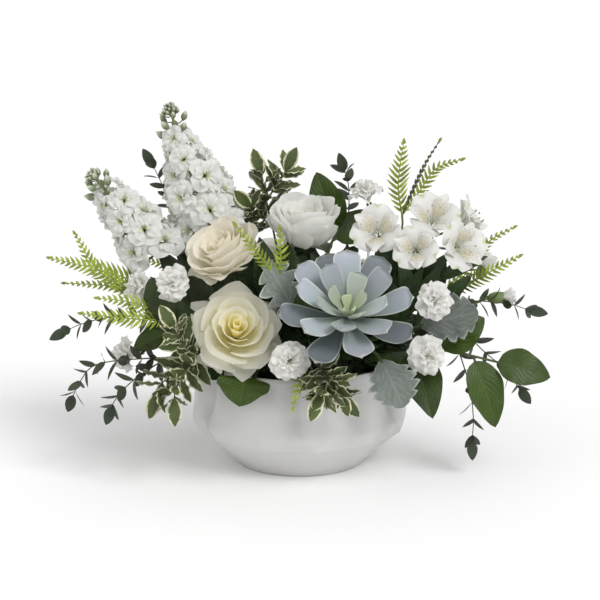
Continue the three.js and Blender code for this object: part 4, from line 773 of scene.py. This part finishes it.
def stem_finish(name, dark, light, roughness=0.55):
    m = Finish(name, roughness, Specular_IOR_Level=0.35)
    cloud = m.noise(160.0, 4.0)
    m.bump(cloud, 0.25, 0.5)
    return m.colour(m.shade(m.mix(cloud, dark, light), 0.8, 1.2, m.tint))


def bud_finish():
    """Green at the base of a bud and white where it opens."""
    m = Finish("Bud", 0.5)
    streaks = m.blade_noise(2.0, 10.0)
    body = m.mix(m.rise(m.along, 0.5, 0.95), (0.17, 0.2, 0.11), (0.6, 0.64, 0.5))
    m.bump(streaks, 0.3, 0.5)
    return m.colour(m.shade(body, 0.8, 1.2, streaks))


PETALS = {name: petal_finish(name, *look) for name, look in PETAL_LOOKS.items()}
LEAVES = {name: leaf_finish(name, *look) for name, look in LEAF_LOOKS.items()}
TEPAL_FINISHES = [tepal_finish(name) for name in TEPALS]
FELT = felt_finish()
STEM = stem_finish("Stem_green", (0.035, 0.06, 0.018), (0.09, 0.13, 0.045))
STALK = stem_finish("Stalk_pale", (0.11, 0.16, 0.055), (0.22, 0.28, 0.11))
TWIG = stem_finish("Twig_brown", (0.05, 0.045, 0.025), (0.12, 0.12, 0.06), 0.7)
BUD = bud_finish()


# ---------------------------------------------------------------- bowl and foam
def from_nearest(angle, count, first):
    """The angle from the nearest of several evenly spaced ones."""
    pitch = TAU / count
    return (angle - first + pitch / 2) % pitch - pitch / 2


def between(feature, z):
    return smooth(*feature["rise"], z) * (1 - smooth(*feature["fade"], z))


def bowl_scale(angle, z):
    """How far the wall stands in or out: pleats above, facets below and slanting ridges between them."""
    off = from_nearest(angle, PLEATS["count"], -math.pi / 2)
    pleat = np.clip(1 - np.abs(off) / PLEATS["half_width"], 0, 1) ** PLEATS["sharpness"]
    inward = PLEATS["depth"] / BOWL["belly"] * pleat * smooth(*PLEATS["rise"], z)
    bend = math.pi / FACETS["count"] - np.abs(from_nearest(angle, FACETS["count"], FACETS["first_edge"]))
    facets = (1 / np.cos(bend) - 1) * between(FACETS, z) * FACETS["share"]
    place = off - lerp(RIDGE_LEAN["angle"], 0, smooth(*RIDGE_LEAN["fade"], z))
    ridge = np.exp(-((place / RIDGE["width"]) ** 2)) * between(RIDGE, z)
    return 1 - inward + facets + RIDGE["height"] * ridge


def make_bowl():
    foot, crease, crease_z = BOWL["foot"], BOWL["crease"], BOWL["crease_z"]
    cone = [(lerp(foot, crease, t), lerp(1.8, crease_z, t)) for t in np.linspace(0.02, 0.975, 14)]
    band = [(crease + dr, crease_z + dz) for dr, dz in ((0.05, -0.25), (0.35, 0.45), (2.6, 5))]
    wall = Path([(r, 0, z) for r, z in BOWL_WALL])
    size, (lip_r, lip_z) = BOWL_LIP["radius"], BOWL_LIP["middle"]
    profile = [(0, 0), (foot - 3, 0), (foot - 0.8, 0.4), *cone, *band]
    profile += [(point[0], point[2]) for point in (wall.at(s) for s in np.linspace(0, 1, 48))]
    lip = np.linspace(0.1, math.pi, 9)
    profile += [(lip_r + size * math.cos(a), lip_z + size * math.sin(a)) for a in lip]
    profile += BOWL_INSIDE
    angles = np.array(evenly(BOWL["sides"]))
    shape = Shape("Bowl", "white_ceramic", [ceramic_finish()], ["bowl"])
    shape.grid(np.array([polar(r * bowl_scale(angles, z), angles, z) for r, z in profile]), closed=True)
    shape.finish()


def finish_foam():
    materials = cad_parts["floral_foam"].data.materials
    materials.clear()
    materials.append(foam_finish())


# ---------------------------------------------------------------- blooms
def petal(u, v, ring, turn, rng):
    """One petal of a ring: its curve outwards, its lip, its waves and the teeth of its edge."""
    ring = {**PETAL, **ring}
    phase, wild = rng.uniform(0, ANY_PHASE), rng.uniform(0.85, 1.15)
    teeth = ring["teeth"] * np.abs((v * ring["tooth_count"]) % 1 - 0.5) * 2
    w = u * (1 - ring["round"] * v**2 - teeth)
    (r0, z0), (r1, z1), (r2, z2) = ring["start"], ring["bend"], ring["end"]
    slope_r, slope_z = lerp(r1 - r0, r2 - r1, w), lerp(z1 - z0, z2 - z1, w)
    size = np.hypot(slope_r, slope_z) + 1e-6
    broad = wild * np.sin(ring["waves"] * math.pi * v + phase) * w**2
    fine = 0.35 * np.sin(ring["waves"] * 7.1 * v + phase * 2) * w**3
    curl = ring["curl"] * smooth(0.6, 1.0, np.abs(v)) * w
    lip = ring["roll"] * smooth(0.72, 1.0, w) ** 1.5
    offset = ring["ruffle"] * (broad + fine) - curl - lip
    r = bezier(r0, r1, r2, w) - slope_z / size * offset + ring["point"] * (1 - np.abs(v)) ** 2 * w**4
    z = bezier(z0, z1, z2, w) + slope_r / size * offset
    angle = turn + v * ring["spread"] * lerp(ring["root"], 1, np.minimum(1, w * 1.6))
    dx, dy = ring["shift"]
    return polar(r * (1 + ring["lean"] * v), angle, z) + stack(dx * w, dy * w, 0)


def add_petals(shape, axes, ring, turns, rng, rows, cols):
    for turn in turns:
        surface = partial(petal, ring=ring, turn=turn, rng=rng)
        shape.blade(axes, surface, rows, cols, age=ring["age"], tint=rng.random())


def moved(point, way, amount):
    return [a + b * amount for a, b in zip(point, way)]


def make_rose(rose, seed):
    rng = random.Random(seed)
    axes = seated_axes(rose["middle"], rose["facing"], ROSE_DEPTH, rose["roll"], rose["scale"])
    name = "rose_" + rose["name"]
    shape = Shape(name.capitalize(), "rose_petals", [PETALS[rose["petals"]]], [name + "_bloom"])
    for k, ring in enumerate(ROSE_RINGS):
        age = 1 - k / (len(ROSE_RINGS) - 1)
        cup = rose["cup"] * age**1.5
        reach, top = ring["end"]
        for turn in evenly(ring["count"], k * 0.9):
            end = (reach * rng.uniform(0.93, 1.04), top + rng.uniform(-1.4, 1.0))
            varied = {
                **PETAL,
                **ring,
                "bend": moved(ring["bend"], ROSE_CUP["bend"], cup),
                "end": moved(end, ROSE_CUP["end"], cup),
                "ruffle": rose["ruffle"] * lerp(0.7, 1.1, age),
                "waves": 1.4,
                "round": lerp(0.05, 0.19, age),
                "lean": 0.13,
                "shift": [c * (1 - age) for c in rose["shift"]],
                "age": age,
            }
            varied["point"] *= rose["point"]
            varied["curl"] *= 1 - ROSE_CUP["less_curl"] * rose["cup"]
            varied["roll"] *= rng.uniform(0.6, 1.3)
            add_petals(shape, axes, varied, [turn + rng.uniform(-0.12, 0.12)], rng, 16, 18)
    shape.finish()


def make_carnation(name, middle, facing, seed):
    rng = random.Random(seed)
    axes = seated_axes(middle, facing, CARNATION_DEPTH, rng.uniform(0, ANY_PHASE))
    shape = Shape("Carnation_" + name, "white_petals", [PETALS["white"]], ["carnation_bloom_" + name])
    for k, ring in enumerate(CARNATION_RINGS):
        for turn in evenly(ring["count"], k * 0.7):
            reach, top = ring["end"]
            end = (reach * rng.uniform(0.8, 1.08), top + rng.uniform(-2.0, 2.0))
            turns = [turn + rng.uniform(-0.22, 0.22)]
            add_petals(shape, axes, {**CARNATION_PETAL, **ring, "end": end}, turns, rng, 10, 18)
    shape.finish()


def make_carnation_buds():
    rng = random.Random(29)
    shape = Shape("Carnation_buds", "white_petals", [PETALS["white"], STALK, BUD])
    for foot, middle, base, way, open_share in BUDS:
        way, base = unit(way), vec(*base)
        axes = bloom_axes(base, way)
        shape.tube(Path([foot, middle, base, base + way]), 1.1, 16, 8, paint=1)
        shape.lathe(axes, BUD_CUP, 10, tint=0.7, paint=1)
        for k, count in enumerate((5, 4)):
            end = (lerp(6.5, 13, open_share) * (1 - 0.4 * k), 23 + 3 * k)
            add_petals(shape, axes, {**BUD_PETAL, "end": end}, evenly(count, k), rng, 8, 10)
    shape.finish()


def tepal(u, v, form, turn, rng):
    phase = rng.uniform(0, ANY_PHASE)
    w = u * (1 - 0.26 * v**2 - form["notch"] * np.exp(-((v / form["notch_width"]) ** 2)))
    wide = form["half"] * np.clip(np.sin(np.minimum(1, w * 1.3) * math.pi / 2), 0, 1) ** form["swell"]
    wide = wide * (1 - form["taper"] * smooth(0.86, 1.05, u))
    broad = 1.3 * np.sin(6.4 * v + phase) * w**2
    fine = 0.9 * np.sin(13 * v + 9 * w + phase * 2) * w**3 * np.abs(v)
    lift = bezier(0, 19, form["top"], w) - 2.2 * v**2 * w + (broad + fine) - 2.6 * smooth(0.7, 1, w)
    return turned(bezier(1.2, 6.5, form["reach"], w), v * wide, lift, turn)


def make_alstroemeria(index, middle, facing, roll, scale):
    rng = random.Random(40 + index)
    axes = seated_axes(middle, facing, ALSTROEMERIA_DEPTH, roll, scale)
    node = "alstroemeria_bloom_%d" % index
    shape = Shape("Alstroemeria_%d" % index, "white_petals", [*TEPAL_FINISHES, BUD], [node])
    for i, turn in enumerate(evenly(6, math.pi / 2)):
        form = TEPALS["inner" if i % 2 else "outer"]
        surface = partial(tepal, form=form, turn=turn, rng=rng)
        shape.blade(axes, surface, 16, 12, tint=rng.random(), paint=form["paint"])
    for angle in evenly(6, 0.4):
        lean = rng.uniform(0.8, 1.2)
        tip = polar(7.5 * lean, angle, 24 + 2 * lean) - vec(0, 2, 0)
        filament = Path.of(apply(axes, Path([polar(0.6, angle, 3), polar(2.6, angle, 14), tip]).points))
        shape.tube(filament, 0.35, 8, 6, tint=0.9)
        shape.tube(filament, lambda s: math.sin(math.pi * lerp(0.08, 0.98, s)) + 0.05, 6, 6,
                   start=0.93, tint=0.3, paint=2)
    shape.finish()


# ---------------------------------------------------------------- succulent
def succulent_leaf(u, v, side, length, width, rise, base, thick, turn):
    """The upper face (side 1) or lower face (side -1) of a thick leaf whose round tip ends in a spike."""
    tip = np.clip((1 - u) / 0.16, 0, 1)
    wide = width * lerp(0.3, 1.0, np.sin(np.clip(u * 1.25, 0, 1) * math.pi / 2) ** 2.4)
    wide = wide * np.sqrt(np.clip(1 - (1 - tip) ** 2.4, 0, 1))
    spike = 0.035 * smooth(0.93, 1.0, u) * (1 - np.abs(v))
    cup = 0.2 * np.abs(v) ** 1.8 * width
    body = side * thick / 2 * (1 - np.abs(v) ** 3) * np.clip(tip * 1.6, 0, 1) * (1.0 if side < 0 else 0.55)
    out = 2 + length * (u + spike) * math.cos(rise) - (cup + body) * math.sin(rise)
    lift = base + length * (u * math.sin(rise) + 0.12 * u**2) - 1.5 * smooth(0.88, 1, u) + cup + body
    return turned(out, v * wide, lift, turn)


def make_succulent():
    rng = random.Random(5)
    axes = seated_axes(SUCCULENT["middle"], SUCCULENT["facing"], SUCCULENT["depth"], SUCCULENT["roll"])
    shape = Shape("Succulent", "succulent_leaf", [succulent_finish()], ["succulent_rosette"])
    count, sizes = SUCCULENT["leaves"], SUCCULENT_LEAF
    for i in range(count):
        age = i / (count - 1)
        length = lerp(*sizes["length"], 1 - (1 - age) ** 2.2)
        leaf = dict(
            length=length,
            width=length * lerp(*sizes["width"], age),
            rise=math.radians(lerp(*sizes["rise"], age**0.66)),
            base=lerp(*sizes["base"], age),
            thick=lerp(*sizes["thick"], age),
            turn=(i - count + 21) * GOLDEN + rng.uniform(-0.05, 0.05),
        )
        tint = rng.random()
        for side in (1, -1):
            shape.blade(axes, partial(succulent_leaf, side=side, **leaf), 22, 12, age=age, tint=tint)
    shape.finish()


# ---------------------------------------------------------------- stock
def round_spike(path, s, angle):
    """The point on a spike, the way along it and the way out of it at an angle."""
    centre, along, _, _ = path.frame(s)
    side = unit(np.cross(along, vec(0, 1, 0)))
    return centre, along, side * math.cos(angle) + np.cross(along, side) * math.sin(angle)


def add_closed_bud(shape, base, way, length, rng):
    width = 0.3 * length
    shares = np.linspace(0, 1, 8)
    profile = [(width * math.sin(math.pi * lerp(0.02, 0.985, t) ** 0.8), length * t) for t in shares]
    shape.lathe(bloom_axes(base, way), profile, 8, tint=rng.random(), paint=1)


def add_florets(shape, stock, path, rng):
    for i in range(stock["florets"]):
        share = i / (stock["florets"] - 1)
        place = lerp(*FLORETS["place"], share)
        centre, along, out = round_spike(path, place, i * GOLDEN + rng.uniform(-0.2, 0.2))
        size = lerp(*FLORETS["size"], share) * rng.uniform(0.86, 1.08)
        facing = unit(out + along * rng.uniform(0.1, 0.5) - vec(0, 0.15, 0))
        reach = lerp(stock["reach"], FLORETS["top_reach"], share**1.8)
        seat = centre + out * reach * rng.uniform(0.8, 1.1)
        axes = bloom_axes(seat, facing, rng.uniform(0, ANY_PHASE), size)
        for k, ring in enumerate(STOCK_RINGS):
            turns = [turn + rng.uniform(-0.2, 0.2) for turn in evenly(ring["count"], k * 0.6)]
            add_petals(shape, axes, {**STOCK_PETAL, **ring}, turns, rng, 7, 10)
        stalk = Path([centre + out * 1.5, centre + out * 5 - along, seat + facing * 2])
        shape.tube(stalk, lambda s: lerp(0.8, 2.0, s) * size, 4, 6, tint=0.8, paint=1)


def add_spike_buds(shape, path, rng):
    placed = 0
    for group in STOCK_BUDS:
        for share in np.linspace(0, 1, group["count"]):
            centre, along, out = round_spike(path, lerp(*group["place"], share), placed * GOLDEN)
            stretch = lerp(*group["stretch"], share) * rng.uniform(0.8, 1.15)
            way = unit(out * lerp(1.0, 0.75, share) + along * 1.1)
            base = centre + out * stretch
            stalk = Path([centre, centre + out * stretch * 0.5 - along, base + way])
            shape.tube(stalk, 0.6, 4, 5, tint=0.7)
            add_closed_bud(shape, base, way, lerp(*group["length"], share) * rng.uniform(0.85, 1.1), rng)
            placed += 1


def make_stock(stock):
    rng = random.Random(stock["seed"])
    path = Path(stock["line"])
    node = "stock_" + stock["name"]
    name = node.capitalize()
    florets = Shape(name + "_florets", "white_petals", [PETALS["stock"], STALK], [node + "_florets"])
    add_florets(florets, stock, path, rng)
    florets.finish()
    spike = Shape(name + "_stem", "green_stem", [STALK, BUD], [node + "_stem"])
    spike.stem(path, 2.3, 24, 8, tint=0.5)
    spike.tube(path, lambda s: lerp(2.4, 1.0, s**2), 24, tint=0.6)
    add_spike_buds(spike, path, rng)
    spike.finish()


# ---------------------------------------------------------------- leaves
def leaf(u, v, length, width, phase, power, fold, arch, sharp=0.85, wave=0.0, waves=3.0, lobes=None):
    """A leaf with a fold, an arch and a wavy edge. A small power makes it widest low down."""
    half = width / 2 * np.clip(np.sin(math.pi * np.clip(u, 0, 1) ** power), 0, 1) ** sharp
    half = half + 0.35 * (1 - u)
    y = length * u
    if lobes:
        half = half * lobes(u)
        y = y + 0.2 * length * np.abs(v) ** 1.5 * (1 - u) * u
    ripple = wave * np.sin(waves * TAU * u + phase + np.where(v > 0, 1.3, 0.0)) * np.abs(v) ** 1.6
    z = fold * np.abs(v * half) + ripple * np.sin(math.pi * u) + arch * length * (0.35 * u - u**2)
    return stack(v * half, y, z)


def add_leaf(shape, base, heading, face, form, rng, rows=8, cols=6, paint=0):
    surface = partial(leaf, phase=rng.uniform(0, ANY_PHASE), **form)
    shape.blade(blade_axes(base, heading, face), surface, rows, cols, tint=rng.random(), paint=paint)


def make_spray(name, twigs):
    kind = TWIGS[name.split("_")[0]]
    form, radius = kind["form"], kind["radius"]
    rng = random.Random(name)
    shape = Shape(name.capitalize(), kind["slot"], [LEAVES[kind["leaf"]], TWIG], [name])
    shape.stem(Path(twigs[0][0]), radius * 1.1, paint=1)
    for line, pairs in twigs:
        path = Path(line)
        shape.tube(path, lambda s: radius * lerp(1.0, 0.5, s), 16, 6, paint=1)
        for i in range(pairs + 2):
            s = lerp(0.12, 0.95, i / (pairs + 1))
            centre, along, side, other = path.frame(s)
            slant = lerp(1.15, 0.8, s) * rng.uniform(0.9, 1.1)
            for turn in (0, kind["second"]):
                angle = i * kind["spin"] + turn + rng.uniform(-0.25, 0.25)
                out = side * math.cos(angle) + other * math.sin(angle)
                heading = along * math.cos(slant) + out * math.sin(slant)
                face = along * math.sin(slant) - out * math.cos(slant) + VIEWER * 0.35
                size = lerp(1.05, 0.82, s) * rng.uniform(0.86, 1.1)
                scaled = {**form, "length": form["length"] * size, "width": form["width"] * size}
                add_leaf(shape, centre + out * 0.4, heading, face, scaled, rng)
        centre, along, side, _ = path.frame(1.0)
        add_leaf(shape, centre - along, along + side * 0.1, VIEWER, form, rng)
    shape.finish()


def make_fern(name, fork, fronds):
    rng = random.Random(name)
    shape = Shape(name.capitalize(), "fern_leaf", [LEAVES["fern"], STALK, TWIG], [name])
    shape.stem(Path([fork, *fronds[0][0]]), 1.0, paint=1)
    for past, reach in fronds:
        path = Path([fork, *past])
        paint, slant = (0, 0.8) if reach > BROWN_LEAFLET else (2, 1.2)
        shape.tube(path, lambda s: lerp(0.95, 0.35, s), 24, 6, paint=paint)
        pairs = round(path.length / LEAFLET_SPACING)
        for s in np.linspace(0.06, 0.97, pairs):
            centre, along, _, _ = path.frame(s)
            side = unit(np.cross(along, VIEWER))
            up = np.cross(side, along)
            size = reach * min(1, 0.5 + s * 2.2) * min(1, (1.1 - s) * 1.7) * rng.uniform(0.92, 1.06)
            form = {**LEAFLET, "length": size * 1.04, "width": 1.9 + size * 0.04}
            for sign in (-1, 1):
                way = side * sign * math.cos(slant) + along * math.sin(slant) + up * rng.uniform(0.05, 0.22)
                add_leaf(shape, centre + along * (1.2 if sign > 0 else 0), way, up, form, rng, 6, 4, paint)
        centre, along, _, _ = path.frame(1.0)
        add_leaf(shape, centre - along * 0.5, along, VIEWER, END_LEAFLET, rng, 5, 4)
    shape.finish()


def broad_leaf(shape, base, tip, width, face, rng):
    way = vec(*tip) - base
    shape.tube(Path.of([base, base + way * 0.05, base + way * 0.1]), 1.1, 3, 6, paint=1)
    length = np.linalg.norm(way) * 0.94
    add_leaf(shape, base + way * 0.07, way, face, {**BROAD, "length": length, "width": width}, rng, 20, 14)


def make_salal(name, line, leaves):
    rng = random.Random(name)
    shape = Shape(name.capitalize(), "glossy_leaf", [LEAVES["salal"], STEM], [name])
    path = Path(line)
    shape.stem(path, 1.5, 20, 8, paint=1)
    shape.tube(path, lambda s: lerp(1.6, 1.1, s), 16, 8, paint=1)
    for s, tip, width, face in leaves:
        broad_leaf(shape, path.at(s), tip, width, face, rng)
    shape.finish()


def lobes(u, depth):
    big = np.abs(np.sin(math.pi * (u * 5.4 + 0.1))) ** 0.8
    small = np.abs(np.sin(math.pi * (u * 13 + 0.3))) ** 0.8
    return (1 - depth) + depth * big * smooth(0.05, 0.3, u) + 0.05 * small


def make_felted(name, base, tip, width, face, depth, tint):
    base, way = vec(*base), vec(*tip) - vec(*base)
    shape = Shape(name.capitalize(), "felted_leaf", [FELT, STEM], [name])
    shape.tube(stem_path(name, base + unit(way) * 3, way), 1.1, 20, 8, paint=1)
    size = dict(length=np.linalg.norm(way) * 1.02, width=width * 1.06)
    surface = partial(leaf, **size, phase=base[0], lobes=partial(lobes, depth=depth), **FELTED_LEAF)
    # The tint is the leaf's painted brightness, set per leaf for the light that reaches it.
    shape.blade(blade_axes(base, way, face), surface, 72, 16, tint=tint)
    shape.finish()


# ---------------------------------------------------------------- stems that only get rounder
def round_stem(node):
    """The solid stem with its square section made round."""
    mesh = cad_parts[node].data.copy()
    mesh.materials.clear()
    mesh.materials.append(STEM)
    mesh.polygons.foreach_set("use_smooth", np.ones(len(mesh.polygons), bool))
    piece = add_object(node.capitalize() + "_round", mesh)
    rounder = piece.modifiers.new("Round", "SUBSURF")
    rounder.levels = rounder.render_levels = 2
    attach(piece, BODY)
    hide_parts(node)


# ---------------------------------------------------------------- greens between the blooms
def bloom_spheres():
    """The room that the blooms need, as middles and radii."""
    rows = [(behind(rose["middle"], rose["facing"], 12), ROOM["rose"]) for rose in ROSES]
    heart = behind(SUCCULENT["middle"], SUCCULENT["facing"], 2)
    for dx, dz in ((0, 0), (26, 8), (-26, 8), (14, -24), (-14, -24)):
        rows.append((heart + vec(dx, 0, dz), ROOM["succulent"]))
    rows += [(behind(*seat, 4), ROOM["carnation"]) for seat in CARNATIONS.values()]
    rows += [(behind(*row[:2], 6), ROOM["alstroemeria"]) for row in ALSTROEMERIAS]
    rows += [(Path(stock["line"]).at(s), ROOM["stock"]) for stock in STOCKS for s in (0.1, 0.35, 0.6, 0.8)]
    return rows


def is_free(points, spheres, air):
    pairs = ((point, *sphere) for point in points for sphere in spheres)
    return all(np.linalg.norm(point - centre) > radius + air for point, centre, radius in pairs)


def make_inner_greens():
    """Dark leaves that grow out of the foam between the stems, hide it and fill the gaps."""
    rng = random.Random(17)
    shape = Shape("Inner_greens", "glossy_leaf", [LEAVES["deep"], STEM])
    spheres = bloom_spheres()
    for i in range(GREENS["tries"]):
        outer = i % 2 == 1
        height = lerp(0.06 if outer else 0.2, 0.97, (i + 0.5) / GREENS["tries"])
        out = polar(math.sqrt(1 - height**2), i * GOLDEN, height)
        base = FOAM["centre"] + out * (rng.uniform(*GREENS["outer"]) if outer else GREENS["inner"])
        bend = vec(rng.uniform(-1, 1), rng.uniform(-1, 1), rng.uniform(-0.4, 0.7)) * 0.5
        way = unit(out + bend)
        tip = base + way * rng.uniform(*GREENS["reach"])
        if tip[2] < GREENS["lowest"]:
            tip[2] = GREENS["lowest"] + rng.uniform(0, 6)
        if not is_free([base, (base + tip) / 2, tip], spheres, 2 if outer else -12):
            continue
        if outer:
            root = FOAM["centre"] + out * GREENS["root"]
            shape.tube(Path([root, (root + base) / 2 + bend * 2, base]), 1.1, 5, 6, paint=1)
        face = unit(out + UP * 0.4 + vec(rng.uniform(-1, 1), rng.uniform(-1, 1), 0) * 0.5)
        broad_leaf(shape, base, tip, rng.uniform(*GREENS["width"]), face + way * 0.05, rng)
    shape.finish()


def make_filling_leaves():
    rng = random.Random(23)
    shape = Shape("Filling_greens", "glossy_leaf", [LEAVES["deep"], STEM])
    for root, tip, width in FILLING_LEAVES:
        root, way = vec(*root), vec(*tip) - vec(*root)
        start = FOAM["centre"] + unit(root - FOAM["centre"]) * 58
        stalk = Path([start, (start + root) / 2 + vec(0, 0, -4), root, root + way * 0.08])
        shape.tube(stalk, 1.1, 10, 6, paint=1)
        form = {**FILLING_LEAF, "length": np.linalg.norm(way), "width": width}
        face = VIEWER + vec(rng.uniform(-0.5, 0.5), 0, rng.uniform(0, 0.5))
        add_leaf(shape, root, way, face, form, rng, 16, 8)
    shape.finish()


# ---------------------------------------------------------------- stage
def make_stage():
    mesh = bpy.data.meshes.new("Floor")
    corners = [(x * FLOOR_HALF, y * FLOOR_HALF, 0) for x, y in ((-1, -1), (1, -1), (1, 1), (-1, 1))]
    mesh.from_pydata(corners, [], [(0, 1, 2, 3)])
    floor = add_object("Floor", mesh)
    m = Finish("Floor_white", 0.8)
    mesh.materials.append(m.colour(m.ramp(m.noise(3.0), (0.0, 0.98), (1.0, 0.99))))


def aim(thing, direction):
    thing.rotation_euler = Vector(direction).to_track_quat("-Z", "Y").to_euler()


def make_lights():
    world = bpy.data.worlds.new("Studio")
    bpy.context.scene.world = world
    world.use_nodes = True
    background = world.node_tree.nodes["Background"]
    background.inputs["Color"].default_value = (1.0, 1.0, 1.0, 1.0)
    background.inputs["Strength"].default_value = STUDIO_LIGHT
    for name, direction, strength, angle in SUNS:
        sun = add_object(name, bpy.data.lights.new(name, "SUN"))
        sun.data.energy = strength
        sun.data.angle = math.radians(angle)
        aim(sun, direction)
    bpy.context.scene.view_settings.view_transform = "Standard"


def make_camera():
    """The photograph's view: 13 degrees above the table and 1.5 m from the middle of the flowers."""
    camera = add_object("Camera", bpy.data.cameras.new("Camera"))
    camera.data.lens = CAMERA["lens"]
    camera.location = CAMERA["place"]
    aim(camera, Vector(CAMERA["aim"]) - camera.location)
    bpy.context.scene.camera = camera


# ---------------------------------------------------------------- assembly
make_bowl()
finish_foam()
for number, rose in enumerate(ROSES):
    make_rose(rose, 21 + number)
for number, (key, (middle, facing)) in enumerate(CARNATIONS.items()):
    make_carnation(key, middle, facing, 31 + number)
for number, row in enumerate(ALSTROEMERIAS, 1):
    make_alstroemeria(number, *row)
make_succulent()
for stock in STOCKS:
    make_stock(stock)
for row in SPRAYS:
    make_spray(*row)
for row in FERNS:
    make_fern(*row)
for row in SALAL:
    make_salal(*row)
for row in FELTED:
    make_felted(*row)
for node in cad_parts:
    if node.endswith(("_stem", "_stems")) and not node.startswith("stock"):
        round_stem(node)
make_inner_greens()
make_filling_leaves()
make_carnation_buds()
make_stage()
make_lights()
make_camera()
